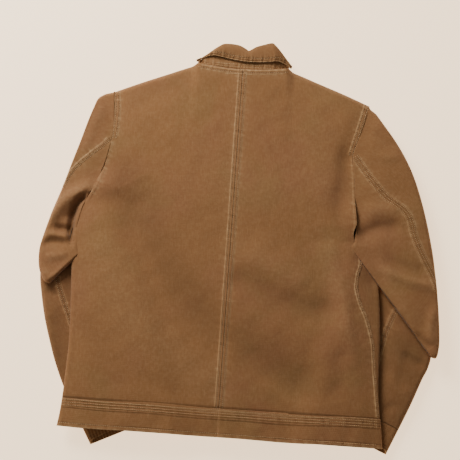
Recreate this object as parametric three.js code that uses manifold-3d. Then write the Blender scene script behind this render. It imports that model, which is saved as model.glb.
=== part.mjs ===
// A waist-length work jacket in cotton duck, zipped up and laid face down with its back uppermost. Its
// sleeves are folded down its sides, and both forearms pass under the body, so that the cuffs lie under the
// hem. Millimetres, +Z up out of the back, +Y along the centre back from the hem to the collar, +X to the
// wearer's right. Every panel of cloth is a thin box whose grid is laid on the surface of a flattened tube.
import * as THREE from "three";
import { mergeVertices } from "three/addons/utils/BufferGeometryUtils.js";
import Module from "manifold-3d";

const wasm = await Module();
wasm.setup();
const { clamp, lerp, smoothstep } = THREE.MathUtils;

// ---- Driving dimensions -----------------------------------------------------------------------------

const backLength = 640; // centre back, from the bottom of the waistband to the neck seam
const bandHeight = 47; // waistband
const neckHalf = 82; // half the width of the neck seam
const neckRise = 8; // how far the neck seam rises from the centre back to the side of the neck
const frontNeckDrop = 71; // the front neckline's lowest point, below the back one
const shoulder = { left: [227, 588], right: [230, 593] }; // each shoulder seam's outer end, [across, up]

// The fold at each side of the body, as [height, distance from the centre back]. It narrows to the armhole.
const sideFold = {
  left: [
    [0, 267], [60, 263], [150, 262], [230, 267], [330, 273],
    [400, 266], [450, 254], [500, 246], [588, 251],
  ],
  right: [
    [0, 272], [60, 266], [150, 260], [246, 257], [300, 249],
    [372, 238], [430, 232], [493, 227], [593, 254],
  ],
};
const sideSeamRound = { left: 0, right: 16 }; // how far round to the back the side seam lies, half way up
const underarm = { left: 392, right: 372 }; // height of the bottom of each armhole

const bodyThick = 32; // outside, from front to back, where the jacket lies on the floor
const fold = 24; // how far in from the side fold the cloth is level
const zipArch = 6; // the fronts stand this far off the floor beside the zip, over the slider

const shell = 1.2; // cotton duck
const doubled = 2.4; // two layers of duck: collar and cuffs
const pocketIn = 2; // each layer's depth below the outside of the cloth, and its thickness
const pocketThick = 1;
const liningIn = 3.8;
const liningThick = 1.4;
const facingIn = 2.8;
const facingThick = 1.2;
const facingWide = 50;
const seamGap = 0.6; // clearance between panels that are sewn edge to edge

const sleeveThick = 15; // a flattened forearm, outside
const sleeveFold = 9; // how far in from its edge the sleeve's cloth is level
const sleeveClear = 2.2; // between the top of a forearm and the body that lies over it
const sleeveLiningIn = 3.3;
const sleeveLiningThick = 1.1;
const cuffHeight = 50;
const buttonRise = 1; // the cuffs lie on their buttons, this far off the floor
const armholeGap = 1.2;

// The two folded edges of each sleeve, from the armhole to the corner of the cuff, as [across, up].
const sleeveEdge = {
  left: {
    inner: [[246, 390], [242, 368], [222, 325], [176, 240], [140, 150], [92, 30]],
    outer: [
      [229, 586], [253, 566], [277, 491], [302, 408], [325, 300],
      [317, 222], [296, 140], [262, 58], [211, -25],
    ],
  },
  right: {
    inner: [[216, 370], [220, 345], [228, 290], [214, 205], [190, 120], [164, 40]],
    outer: [
      [232, 591], [283, 521], [321, 442], [346, 339], [356, 253],
      [361, 152], [340, 118], [303, 34], [283, -9],
    ],
  },
};
const elbowSeam = { start: 0.53, end: 0.9 }; // share of the way across the top of the sleeve
const innerSeam = 0.35; // share of the way across the underside

const standHeight = { back: 38, front: 26 };
const neckFold = 12;
const leafRise = 27; // how far the back of the collar stands up from its crease
const leafReach = 34; // and how far it comes back over the stand
const leafFrontLength = 72;

const zip = {
  chainIn: 1.3, chainOut: 3.2, chainThick: 2.4,
  tapeWide: 20, tapeThick: 0.8, height: 8, edge: 9,
};
const zipTop = backLength - frontNeckDrop - 6;
const slider = { half: 5.6, flange: 1.2, plate: 1.2, long: 13, clear: 0.5 };
const pull = { wide: 6, long: 34, thick: 1.2, hole: 9, bar: 1.6 };
const bail = { wide: 2, drop: 3.3, thick: 1.1, long: 8 };

// ---- Small helpers ----------------------------------------------------------------------------------

const eased = (x, from, to) => smoothstep(x, from, to);

// A smooth line through [position, value] pairs.
function through(pairs) {
  const line = new THREE.CubicInterpolant(
    Float64Array.from(pairs, (p) => p[0]),
    Float64Array.from(pairs, (p) => p[1]),
    1,
    new Float64Array(1),
  );
  const [first, last] = [pairs[0][0], pairs[pairs.length - 1][0]];
  return (x) => line.evaluate(clamp(x, first, last))[0];
}

// Colours and finishes, by name.
const finishes = {
  duck: [0x8e623d, 0.88, 0],
  duck_facing: [0x7b5636, 0.88, 0],
  lining: [0x3b3029, 0.8, 0],
  pocket_cloth: [0x9a8a72, 0.85, 0],
  label: [0xb7a88c, 0.7, 0],
  zip_tape: [0x4a3524, 0.8, 0],
  brass: [0x9c7a3e, 0.4, 1],
};
const materials = Object.fromEntries(
  Object.entries(finishes).map(([name, [color, roughness, metalness]]) => [
    name,
    new THREE.MeshStandardMaterial({ name, color, roughness, metalness }),
  ]),
);

const jacket = new THREE.Group();
function add(name, finish, geometry, [x, y, z] = [0, 0, 0]) {
  const mesh = new THREE.Mesh(geometry, materials[finish]);
  mesh.name = name;
  mesh.position.set(x, y, z);
  jacket.add(mesh);
  return mesh;
}

// A closed mesh with its faces pointing out, whichever way round its grid was laid.
function closed(geometry) {
  geometry.deleteAttribute("normal");
  geometry.deleteAttribute("uv");
  const merged = mergeVertices(geometry, 1e-3);
  const p = merged.attributes.position;
  const index = merged.index.array;
  const [a, b, c] = [new THREE.Vector3(), new THREE.Vector3(), new THREE.Vector3()];
  let volume = 0;
  for (let i = 0; i < index.length; i += 3) {
    a.fromBufferAttribute(p, index[i]);
    b.fromBufferAttribute(p, index[i + 1]);
    c.fromBufferAttribute(p, index[i + 2]);
    volume += a.dot(b.cross(c));
  }
  if (volume < 0) {
    for (let i = 0; i < index.length; i += 3) {
      [index[i], index[i + 1]] = [index[i + 1], index[i]];
    }
  }
  return merged;
}

// A sheet of cloth: at(u, v, w) gives the point for u across it, v along it and w through it, each 0 to 1.
// Both its faces are cut into triangles the same way, so that two sheets on one grid stay parallel.
// mirrored(i) is true for the columns whose neighbour's grid runs the other way.
function sheet(across, along, at, mirrored = () => false) {
  const position = [];
  for (const w of [0, 1]) {
    for (let j = 0; j <= along; j++) {
      for (let i = 0; i <= across; i++) {
        position.push(...at(i / across, j / along, w));
      }
    }
  }
  const id = (i, j, w) => (w * (along + 1) + j) * (across + 1) + i;
  const index = [];
  const quad = (a, b, c, d) => index.push(a, b, c, a, c, d);
  for (let j = 0; j < along; j++) {
    for (let i = 0; i < across; i++) {
      const turn = mirrored(i) ? 1 : 0;
      const corners = (w) => [id(i, j, w), id(i + 1, j, w), id(i + 1, j + 1, w), id(i, j + 1, w)];
      const [top, bottom] = [corners(1), corners(0)];
      quad(...[0, 1, 2, 3].map((k) => top[(k + turn) % 4]));
      const [a, b, c, d] = [0, 1, 2, 3].map((k) => bottom[(k + turn) % 4]);
      index.push(a, c, b, a, d, c);
    }
  }
  for (let i = 0; i < across; i++) {
    quad(id(i, 0, 0), id(i + 1, 0, 0), id(i + 1, 0, 1), id(i, 0, 1));
    quad(id(i + 1, along, 0), id(i, along, 0), id(i, along, 1), id(i + 1, along, 1));
  }
  for (let j = 0; j < along; j++) {
    quad(id(0, j + 1, 0), id(0, j, 0), id(0, j, 1), id(0, j + 1, 1));
    quad(id(across, j, 0), id(across, j + 1, 0), id(across, j + 1, 1), id(across, j, 1));
  }
  const made = new THREE.BufferGeometry();
  made.setAttribute("position", new THREE.Float32BufferAttribute(position, 3));
  return closed(made.setIndex(index));
}

function solid(geometry) {
  const g = closed(geometry);
  const vertProperties = g.attributes.position.array;
  const triVerts = new Uint32Array(g.index.array);
  return new wasm.Manifold(new wasm.Mesh({ numProp: 3, vertProperties, triVerts }));
}

function toGeometry(made) {
  const mesh = made.getMesh();
  return new THREE.BufferGeometry()
    .setAttribute("position", new THREE.BufferAttribute(mesh.vertProperties, 3))
    .setIndex(new THREE.BufferAttribute(mesh.triVerts, 1));
}

function block(x0, x1, y0, y1, z0, z1) {
  const box = new THREE.BoxGeometry(x1 - x0, y1 - y0, z1 - z0);
  return box.translate((x0 + x1) / 2, (y0 + y1) / 2, (z0 + z1) / 2);
}

// ---- The surface that the body's cloth lies on ------------------------------------------------------

const sides = ["left", "right"];
const sign = { left: -1, right: 1 };
const foldAt = { left: through(sideFold.left), right: through(sideFold.right) };

// Distance from the centre line to the inner edge of the forearm that lies under the body, by height.
const forearmEdge = Object.fromEntries(
  sides.map((side) => [side, through(sleeveEdge[side].inner.map(([x, y]) => [y, x]).reverse())]),
);

// How far the body is lifted off the floor by the forearm under it.
function lift(x, y) {
  const side = x < 0 ? "left" : "right";
  const inward = forearmEdge[side](y) - Math.abs(x);
  const top = sleeveEdge[side].inner[0][1];
  return (sleeveThick + sleeveClear) * (1 - eased(inward, 8, 58)) * (1 - eased(y, top + 20, top + 60));
}

// The outside of the front, which lies on the floor but for the zip, the collar points and the forearms.
function frontLevel(x, y) {
  const arch = zipArch * (1 - eased(Math.abs(x), 28, 64));
  const overCollar = zipArch * (1 - eased(Math.abs(x), 100, 140)) * eased(y, 455, 485);
  return Math.max(lift(x, y), arch, overCollar);
}

const backLevel = (x, y) => bodyThick + 0.6 * lift(x, y);

// Length of the quarter turn from the middle of a fold to level cloth.
const quarter = (across, half) => (Math.PI / 2) * Math.sqrt((across * across + half * half) / 2);
const bodyQuarter = quarter(fold, bodyThick / 2);

// Every layer of the body is laid out on the same columns and rows, so that they stay clear of one another:
// distances from the centre back, shares of the way from there to the side seam, and shares of the height.
const facingEnd = zip.edge + facingWide;
const columns = {
  facing: [zip.edge, 28, 45, facingEnd],
  neck: [facingEnd + 3, 72, neckHalf],
  pocket: [96, 123, 150, 176],
  back: [30, facingEnd, neckHalf, 128, 176],
  side: [0.35, 0.6, 0.78, 0.9, 1],
};
const rows = [0, 0.09, 0.18, 0.27, 0.36, 0.45, 0.54, 0.58, 0.62, 0.665, 0.72, 0.79, 0.87, 0.94, 0.98, 1];

// The neck seam, straight from column to column.
const atNeck = backLength + neckRise;
const neckLine = {
  back: [0, 20, 40, 60, neckHalf].map((d) => [d, lerp(backLength, atNeck, (d / neckHalf) ** 2)]),
  front: [0, ...columns.facing, ...columns.neck].map((d) => [
    d,
    lerp(backLength - frontNeckDrop, atNeck, (d / neckHalf) ** 2.4),
  ]),
};
function along(line, x) {
  const i = clamp(line.findIndex(([at]) => at >= x), 1, line.length - 1);
  const [[x0, y0], [x1, y1]] = [line[i - 1], line[i]];
  return lerp(y0, y1, clamp((x - x0) / (x1 - x0), 0, 1));
}

// The neck seam and shoulder seam, by distance from the centre back.
function topOf(x, side, front) {
  const d = Math.abs(x);
  if (d < neckHalf) {
    return along(front ? neckLine.front : neckLine.back, d);
  }
  const [tip, height] = shoulder[side];
  return lerp(atNeck, height, clamp((d - neckHalf) / (tip - neckHalf), 0, 1));
}

// A point of the body's cloth. round is the distance from the middle of the side fold, plus over the back
// and minus under the front; v runs from base at the bottom of the panel to the neck or shoulder seam.
function bodyPoint(side, round, v, inset, base = 0) {
  const front = round < 0;
  const turn = clamp(Math.abs(round) / bodyQuarter, 0, 1) * (Math.PI / 2);
  const edge = foldAt[side](lerp(base, shoulder[side][1], v));
  const past = Math.max(Math.abs(round) - bodyQuarter, 0);
  const x = sign[side] * (edge - inset - (fold - inset) * (1 - Math.cos(turn)) - past);
  const atShoulder = eased(Math.abs(x), neckHalf - 6, neckHalf + 14);
  const top = topOf(x, side, front) - inset * atShoulder;
  const y = lerp(base, top, v);
  const near = clamp((top - y) / fold, 0, 1);
  const shoulderRound = lerp(1, Math.sqrt(1 - (1 - near) ** 2), atShoulder);
  const low = frontLevel(x, y);
  const high = backLevel(x, y);
  const half = Math.max((high - low) / 2 - inset, 0.2);
  const apart = seamGap * (1 - shoulderRound); // keeps front and back clear along the shoulder seam
  const z = (high + low) / 2 + (front ? -1 : 1) * (apart + (half - apart) * Math.sin(turn) * shoulderRound);
  return [x, y, z];
}

// Distance round from the middle of the fold to a place x from the centre line.
const roundTo = (side, v, x, base = 0) =>
  bodyQuarter + foldAt[side](lerp(base, shoulder[side][1], v)) - fold - x;

// Where a panel starts at the side: at the side seam, and higher up at the armhole.
function sideStart(side, v, base, front, clear = seamGap / 2) {
  const y = lerp(base, shoulder[side][1], v);
  const open = eased(y, underarm[side] - 30, underarm[side] + 8);
  const seam = sideSeamRound[side] * Math.sin((Math.PI / 2) * clamp(y / 300, 0, 1)) ** 2;
  const armhole = bodyQuarter + clear;
  return lerp(seam + (front ? -clear : clear), front ? -armhole : armhole, open);
}

const bodyBase = bandHeight + seamGap;

const rowsUpTo = (top) => rows.map((row, i) => Math.min(row, top - 0.015 * (rows.length - 1 - i)));

// Part of one layer: from[] lists its columns outwards from the centre, before those on to the side seam.
function layer(side, front, from, kind) {
  const { toSide, rowFrom = 0, rowTo = rows.length - 1, inset, thick, clear, top = 1 } = kind;
  const shares = toSide ? columns.side : [];
  const count = from.length + shares.length;
  const last = from[from.length - 1];
  const heights = top < 1 ? rowsUpTo(top) : rows;
  return sheet(count - 1, rowTo - rowFrom, (u, v, w) => {
    const up = heights[rowFrom + Math.round(v * (rowTo - rowFrom))];
    const column = Math.round(u * (count - 1));
    let round = roundTo(side, up, from[Math.min(column, from.length - 1)], bodyBase) * (front ? -1 : 1);
    if (column >= from.length) {
      const reach = sideStart(side, up, bodyBase, front, clear);
      const end = roundTo(side, up, last, bodyBase) * (front ? -1 : 1);
      round = lerp(end, reach, shares[column - from.length]);
    }
    return bodyPoint(side, round, up, inset + (1 - w) * thick, bodyBase);
  });
}

const shellLayer = { toSide: true, inset: 0, thick: shell, clear: seamGap / 2 };
const liningLayer = { toSide: true, inset: liningIn, thick: liningThick, clear: 3 * seamGap, top: 0.982 };
const frontColumns = [...columns.facing, ...columns.neck, ...columns.pocket];

const backPanel = (side) => layer(side, false, [seamGap / 2, ...columns.back], shellLayer);
const frontPanel = (side) => layer(side, true, frontColumns, shellLayer);
const frontLining = (side) => layer(side, true, [...columns.neck, ...columns.pocket], liningLayer);
const frontFacing = (side) =>
  layer(side, true, columns.facing, { toSide: false, inset: facingIn, thick: facingThick, top: 0.97 });

// The back lining is cut in one piece across both sides.
function backLining() {
  const half = [0, ...columns.back];
  const count = half.length + columns.side.length - 1;
  const heights = rowsUpTo(liningLayer.top);
  const at = (u, v, w) => {
    const column = Math.round(u * 2 * count) - count;
    const side = column < 0 ? "left" : "right";
    const k = Math.abs(column);
    const up = heights[Math.round(v * (rows.length - 1))];
    const last = roundTo(side, up, half[half.length - 1], bodyBase);
    const reach = sideStart(side, up, bodyBase, false, liningLayer.clear);
    const beyond = lerp(last, reach, columns.side[k - half.length] ?? 0);
    const round = k < half.length ? roundTo(side, up, half[k], bodyBase) : beyond;
    return bodyPoint(side, round, up, liningIn + (1 - w) * liningThick, bodyBase);
  };
  return sheet(2 * count, rows.length - 1, at, (i) => i < count);
}

// The waistband runs in one piece from one front edge, round the back, to the other.
function waistband(inset, thick, gap) {
  const share = bandHeight / shoulder.left[1];
  return sheet(44, 1, (u, v, w) => {
    const side = u < 0.5 ? "left" : "right";
    const out = Math.abs(2 * u - 1);
    const up = v * share;
    const back = roundTo(side, up, 0);
    const front = -roundTo(side, up, zip.edge + gap);
    const round = lerp(back, front, out);
    const point = bodyPoint(side, round, up, inset + (1 - w) * thick);
    return [point[0], v * (bandHeight - gap) + gap / 2, point[2]];
  });
}

// ---- Pockets ----------------------------------------------------------------------------------------

const pocket = { mouthLow: 86, mouthHigh: 222, welt: 16, mouth: 3.5 };

// The slanting mouth's distance from the centre front, by height.
const mouthAt = (y) => lerp(150, 108, (y - pocket.mouthLow) / (pocket.mouthHigh - pocket.mouthLow));
const upTo = (side, x, y) => (y - bodyBase) / (topOf(x, side, true) - bodyBase);

const pocketBag = (side) =>
  layer(side, true, columns.pocket, { toSide: false, rowTo: 4, inset: pocketIn, thick: pocketThick });

// A strip along the pocket's mouth, from one distance past its line to another, through a range of depths.
function alongMouth(side, from, to, deepest, shallowest, grow) {
  return sheet(2, 7, (u, v, w) => {
    const y = lerp(pocket.mouthLow - grow, pocket.mouthHigh + grow, v);
    const x = mouthAt(y) + lerp(from, to, u);
    const up = upTo(side, x, y);
    return bodyPoint(side, -roundTo(side, up, x, bodyBase), up, lerp(deepest, shallowest, w), bodyBase);
  });
}

// The welt is cut out of the panel's own surface, so that it lies flush in the slot.
const weltCut = (side) => solid(alongMouth(side, 0, pocket.welt, shell + 5, -5, 0));
const slotCut = (side) =>
  solid(alongMouth(side, -pocket.mouth, pocket.welt + seamGap, shell + 5, -5, seamGap));

// ---- Sleeves ----------------------------------------------------------------------------------------

const besideBody = 268; // beyond this distance from the centre the sleeve is clear of the body

// The top of a sleeve: flat under the body, fuller beside it, and as high as the body at the armhole.
function sleeveTop(x, y, side) {
  const atArmhole = eased(y, underarm[side] + 10, underarm[side] + 96);
  const beside = eased(x, besideBody, besideBody + 56) * eased(y, 120, 230);
  return sleeveThick + (bodyThick - sleeveThick) * Math.max(atArmhole, 0.45 * beside);
}

const plan = ([x, y]) => new THREE.Vector2(x, y);
const sleeveLines = Object.fromEntries(
  sides.map((side) => {
    const { inner, outer } = sleeveEdge[side];
    const line = (points) => new THREE.SplineCurve(points.map(plan));
    return [side, { inner: line(inner), outer: line(outer) }];
  }),
);

// A share v of the way along one edge, either of the sleeve down to the cuff or of the cuff itself.
function edgeAt(line, v, cuff) {
  const cut = 1 - cuffHeight / line.getLength();
  const t = cuff ? lerp(cut, 1, v) : lerp(0, cut, v);
  return line.getPointAt(clamp(t, 0, 1));
}

// A point of the sleeve's cloth, a share f of the way from its inner edge to its outer, on top or beneath.
function sleevePoint(side, f, beneath, v, inset, cuff = false) {
  const { inner, outer } = sleeveLines[side];
  const from = edgeAt(inner, v, cuff);
  const to = edgeAt(outer, v, cuff);
  const wide = from.distanceTo(to);
  const near = Math.min(f, 1 - f) * wide; // distance from the nearer edge, along the flat
  const turn = Math.acos(1 - clamp(near / sleeveFold, 0, 1));
  const kept = near < sleeveFold ? inset + (sleeveFold - inset) * (1 - Math.cos(turn)) : near;
  const share = f < 0.5 ? kept / wide : 1 - kept / wide;
  const spot = from.clone().lerp(to, share);
  const fromArmhole = cuff ? 0 : (1 - clamp(v / 0.2, 0, 1)) ** 2;
  const [x, y] = [lerp(spot.x, foldAt[side](spot.y) - fold + armholeGap, fromArmhole), spot.y];
  const high = sleeveTop(x, y, side);
  const low = (buttonRise + 0.3) * (1 - eased(y, 70, 160));
  const half = Math.max((high - low) / 2 - inset, 0.2);
  const z = (high + low) / 2 + (beneath ? -1 : 1) * half * Math.sin(turn);
  return [sign[side] * x, y, z];
}

// The cloth round one edge of the sleeve. u runs from the underside (0) round the edge (0.5) to the top (1).
function roundEdge(side, outer, u, v, low, high, inset, cuff) {
  const beneath = u < 0.5;
  const out = Math.abs(2 * u - 1) ** 1.5;
  const f = out * (beneath ? low : high);
  return sleevePoint(side, outer ? 1 - f : f, beneath, v, inset, cuff);
}

const elbowAt = (v) => lerp(elbowSeam.start, elbowSeam.end, eased(v, 0, 0.5));
const sleeveRows = [0.006, 0.04, 0.1, 0.18, 0.27, 0.37, 0.47, 0.57, 0.67, 0.78, 0.89, 0.9985];
const halfColumns = 6; // on each face of each of the sleeve's two panels

// u runs over one panel, from its seam on the underside (0) to its seam on the top (1).
function panelPoint(side, outer, u, v, inset) {
  const gap = seamGap / 2 / 150;
  const onTop = outer ? 1 - elbowAt(v) : elbowAt(v);
  const below = outer ? 1 - innerSeam : innerSeam;
  return roundEdge(side, outer, u, v, below - gap, onTop - gap, inset, false);
}

function sleevePanel(side, outer) {
  return sheet(2 * halfColumns, sleeveRows.length - 1, (u, v, w) => {
    const down = sleeveRows[Math.round(v * (sleeveRows.length - 1))];
    return panelPoint(side, outer, u, down, (1 - w) * shell);
  });
}

// The lining goes all round, from the underside's seam and back to it.
function sleeveLining(side) {
  const at = (u, v, w) => {
    const down = clamp(sleeveRows[Math.round(v * (sleeveRows.length - 1))], 0.022, 0.985);
    const column = Math.round(u * (4 * halfColumns - 1));
    const outer = column >= 2 * halfColumns;
    const k = outer ? 4 * halfColumns - 1 - column : column;
    const round = Math.max(k / (2 * halfColumns), 0.03);
    return panelPoint(side, outer, round, down, sleeveLiningIn + (1 - w) * sleeveLiningThick);
  };
  return sheet(4 * halfColumns - 1, sleeveRows.length - 1, at, (i) => i >= 2 * halfColumns);
}

function cuff(side) {
  return sheet(22, 1, (u, v, w) => {
    const outer = u > 0.5;
    const k = outer ? 2 * (1 - u) : 2 * u;
    const below = (outer ? 1 - innerSeam : innerSeam) - 0.012;
    return roundEdge(side, outer, k, v, below, 0.5, (1 - w) * doubled, true);
  });
}

// The tack button beside the cuff's vent, on the underside.
function cuffButton(side) {
  const at = sleevePoint(side, innerSeam + 0.12, true, 0.5, 0, true);
  const cap = new THREE.CylinderGeometry(7, 8, buttonRise, 20).rotateX(-Math.PI / 2);
  return { cap, at: [at[0], at[1], at[2] - 0.3 - buttonRise / 2] };
}

// ---- Collar -----------------------------------------------------------------------------------------

const neckEdge = neckHalf + 6;
const neckQuarter = quarter(neckFold, bodyThick / 2);

// The collar stand: u from one end at the front zip, round the back of the neck, to the other; v up it.
function standPoint(u, v, inset) {
  const s = u < 0.5 ? -1 : 1;
  const side = u < 0.5 ? "left" : "right";
  const out = Math.abs(2 * u - 1);
  const backRun = neckQuarter + neckEdge - neckFold;
  const frontRun = backRun - zip.edge;
  const round = lerp(backRun, -frontRun, out);
  const front = round < 0;
  const turn = clamp(Math.abs(round) / neckQuarter, 0, 1) * (Math.PI / 2);
  const past = Math.max(Math.abs(round) - neckQuarter, 0);
  const d = neckEdge - inset - (neckFold - inset) * (1 - Math.cos(turn)) - past;
  const height = lerp(standHeight.back, standHeight.front, eased(out, 0.35, 0.75));
  const foot = front ? topOf(Math.min(d, neckHalf), side, true) : topOf(Math.min(d, neckHalf), side, false);
  const sideways = Math.cos(turn); // at the side of the neck the stand is shorter
  const y = foot + 2 * seamGap + v * height * (1 - 0.75 * sideways);
  const high = bodyThick - 4 * v;
  const low = zipArch;
  const half = (high - low) / 2 - inset;
  return [s * d, y, (high + low) / 2 + (front ? -1 : 1) * half * Math.sin(turn)];
}

// One column of the stand lies at the side of the neck, where the front's neckline starts to fall.
const standColumns = 30;
const sideOfNeck = (neckQuarter * Math.acos(1 - (neckEdge - neckHalf) / neckFold)) / (Math.PI / 2);
const toFold = neckQuarter + neckEdge - neckFold; // from the centre back to the middle of the side fold
const cornerOut = (toFold + sideOfNeck) / (2 * toFold - zip.edge);
const nearestOut = Math.round((cornerOut * standColumns) / 2) / (standColumns / 2);
function standColumn(u) {
  const out = Math.abs(2 * u - 1);
  const inner = out * (cornerOut / nearestOut);
  const outer = 1 - (1 - out) * ((1 - cornerOut) / (1 - nearestOut));
  const kept = out < nearestOut ? inner : outer;
  return u < 0.5 ? (1 - kept) / 2 : (1 + kept) / 2;
}
const stand = () =>
  sheet(standColumns, 2, (u, v, w) => standPoint(standColumn(u), v, (1 - w) * doubled));

// The collar's leaf over the back of the neck. It rises from the crease and leans back over the stand.
function leafPoint(u, v, w) {
  const x = lerp(-1, 1, u) * (neckHalf + 3);
  const side = Math.abs(x) / (neckHalf + 3);
  const full = Math.sqrt(1 - 0.92 * side ** 2.2);
  const creaseY = backLength + lerp(14, standHeight.back + 2.4, full);
  const creaseZ = bodyThick - 1.4;
  const angle = Math.atan2(leafRise, leafReach);
  const reach = v * Math.hypot(leafRise, leafReach) * lerp(0.45, 1, full);
  const depth = w * doubled;
  return [
    x,
    creaseY - reach * Math.cos(angle) + depth * Math.sin(angle),
    creaseZ + reach * Math.sin(angle) + depth * Math.cos(angle),
  ];
}

const backLeaf = () => sheet(16, 3, leafPoint);

// A collar point: it lies between the front of the jacket and the floor.
function frontLeaf(side) {
  const s = sign[side];
  const outline = new THREE.Shape();
  const crease = backLength - frontNeckDrop + standHeight.front;
  outline.moveTo(s * (zip.edge + 3), crease - 12);
  outline.lineTo(s * (zip.edge + 34), crease - leafFrontLength - 12);
  outline.lineTo(s * 96, crease - 34);
  outline.lineTo(s * 92, crease + 8);
  outline.quadraticCurveTo(s * 58, crease - 2, s * (zip.edge + 3), crease - 12);
  const made = new THREE.ExtrudeGeometry(outline, { depth: doubled, bevelEnabled: false, curveSegments: 6 });
  return closed(made.translate(0, 0, 1));
}

// ---- Zip --------------------------------------------------------------------------------------------

const zipLow = 3;

function zipHalf(side) {
  const s = sign[side];
  const pair = (a, b) => [Math.min(s * a, s * b), Math.max(s * a, s * b)];
  const tapeFrom = zip.chainOut + 0.3;
  const { tapeThick, chainThick, height } = zip;
  const across = pair(tapeFrom, tapeFrom + zip.tapeWide);
  const tape = block(...across, zipLow, zipTop, height - tapeThick / 2, height + tapeThick / 2);
  const chainLow = zipLow + 12;
  const chainHigh = zipTop - 4;
  const z0 = height - chainThick / 2;
  const z1 = height + chainThick / 2;
  const chain = block(...pair(zip.chainIn, zip.chainOut), chainLow, chainHigh, z0, z1);
  const stop = block(...pair(zip.chainIn, zip.chainOut), chainHigh + 0.4, chainHigh + 3.4, z0, z1);
  return { tape, chain, stop };
}

// The slider's section, across the zip: two plates joined by a post, with lips that hold the tapes in.
function sliderBody() {
  const { half, flange, plate, clear, long } = slider;
  const room = zip.chainThick / 2 + clear;
  const lip = zip.tapeThick / 2 + clear;
  const post = zip.chainIn - 0.35;
  const web = half - flange;
  const quarterOf = [[post, room], [web, room], [web, lip], [half, lip], [half, room + plate]];
  const mirrored = (sx, sz) => quarterOf.map(([x, z]) => [sx * x, sz * z]);
  const points = [
    ...mirrored(1, 1),
    ...mirrored(-1, 1).reverse(),
    ...mirrored(-1, -1),
    ...mirrored(1, -1).reverse(),
  ];
  const outline = new THREE.Shape(points.map(plan));
  const made = new THREE.ExtrudeGeometry(outline, { depth: long, bevelEnabled: false });
  // The section's height turns to Z, and its length runs along the zip.
  return solid(made.translate(0, 0, -long / 2).rotateX(Math.PI / 2));
}

// A bridge under the slider, which the pull hangs from.
function sliderWithBail() {
  const under = -(zip.chainThick / 2 + slider.clear + slider.plate);
  const { wide, drop, thick, long } = bail;
  const legs = [-1, 1].map((s) => {
    const y = s * (long / 2 - thick / 2);
    return solid(block(-wide / 2, wide / 2, y - thick / 2, y + thick / 2, under - drop, under + 0.4));
  });
  const bar = solid(block(-wide / 2, wide / 2, -long / 2, long / 2, under - drop, under - drop + thick));
  return toGeometry(wasm.Manifold.union([sliderBody(), bar, ...legs]));
}

// The pull: a flat tab with a slot below its root, round the bail's leg. Its zero is the middle of its root.
function pullTab() {
  const { wide, long, thick, hole, bar } = pull;
  const root = bar / 2;
  const end = root - long + wide / 2 + 1;
  const outline = new THREE.Shape();
  outline.moveTo(-wide / 2, root);
  outline.lineTo(wide / 2, root);
  outline.lineTo(wide / 2 + 1, end);
  outline.absarc(0, end, wide / 2 + 1, 0, -Math.PI, true);
  outline.closePath();
  const slot = [[-1, 0], [-1, -1], [1, -1], [1, 0]];
  const slotHalf = wide / 2 - bar;
  outline.holes.push(new THREE.Path(slot.map(([x, y]) => new THREE.Vector2(x * slotHalf, y * hole - root))));
  const made = new THREE.ExtrudeGeometry(outline, { depth: thick, bevelEnabled: false, curveSegments: 10 });
  return made.translate(0, 0, -thick / 2);
}

// ---- Inside the neck --------------------------------------------------------------------------------

const hanger = { half: 32, sag: 13, wide: 6, thick: 1, clear: 0.8 };
const label = { half: 34, low: 572, high: 612, thick: 0.6, clear: 0.4 };
const underLining = bodyThick - liningIn - liningThick; // the level of the back lining's inner face

function hangLoop() {
  return sheet(12, 1, (u, v, w) => [
    lerp(-hanger.half, hanger.half, u),
    backLength - 3 - hanger.sag * Math.sin(Math.PI * u) + (v - 1) * hanger.wide,
    underLining - hanger.clear - w * hanger.thick,
  ]);
}

function neckLabel() {
  const top = underLining - label.clear;
  return block(-label.half, label.half, label.low, label.high, top - label.thick, top);
}

// ---- The pieces -------------------------------------------------------------------------------------

for (const side of sides) {
  add(`back_panel_${side}`, "duck", backPanel(side));
  const uncut = solid(frontPanel(side));
  add(`front_panel_${side}`, "duck", toGeometry(uncut.subtract(slotCut(side))));
  add(`pocket_welt_${side}`, "duck", toGeometry(uncut.intersect(weltCut(side))));
  add(`front_facing_${side}`, "duck_facing", frontFacing(side));
  add(`front_lining_${side}`, "lining", frontLining(side));
  add(`pocket_bag_${side}`, "pocket_cloth", pocketBag(side));
  add(`sleeve_outer_${side}`, "duck", sleevePanel(side, true));
  add(`sleeve_inner_${side}`, "duck", sleevePanel(side, false));
  add(`sleeve_lining_${side}`, "lining", sleeveLining(side));
  add(`cuff_${side}`, "duck", cuff(side));
  add(`collar_point_${side}`, "duck", frontLeaf(side));
}
add("back_lining", "lining", backLining());
add("waistband", "duck", waistband(0, shell, 0));
add("waistband_facing", "duck_facing", waistband(liningIn - 0.8, shell, 2));
add("collar_stand", "duck", stand());
add("collar_leaf", "duck", backLeaf());

for (const side of sides) {
  const { tape, chain, stop } = zipHalf(side);
  add(`zip_tape_${side}`, "zip_tape", tape);
  add(`zip_chain_${side}`, "brass", chain);
  add(`zip_top_stop_${side}`, "brass", stop);
}
const sliderAt = zipTop - 14;
const bailMiddle = zip.chainThick / 2 + slider.clear + slider.plate + (bail.drop - bail.thick) / 2;
const { height, chainIn, chainOut, chainThick } = zip;
const boxHalf = chainThick / 2 + 0.5;
const boxEnds = [zipLow + 1, zipLow + 8.6];
add("zip_box", "brass", block(-chainOut, chainOut, ...boxEnds, height - boxHalf, height + boxHalf));
add("zip_pin", "brass", block(chainIn, chainOut, zipLow + 9, zipLow + 11.6, height - 1, height + 1));
add("zip_slider", "brass", sliderWithBail(), [0, sliderAt, height]);
add("zip_pull", "brass", pullTab(), [0, sliderAt, height - bailMiddle]);

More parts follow.
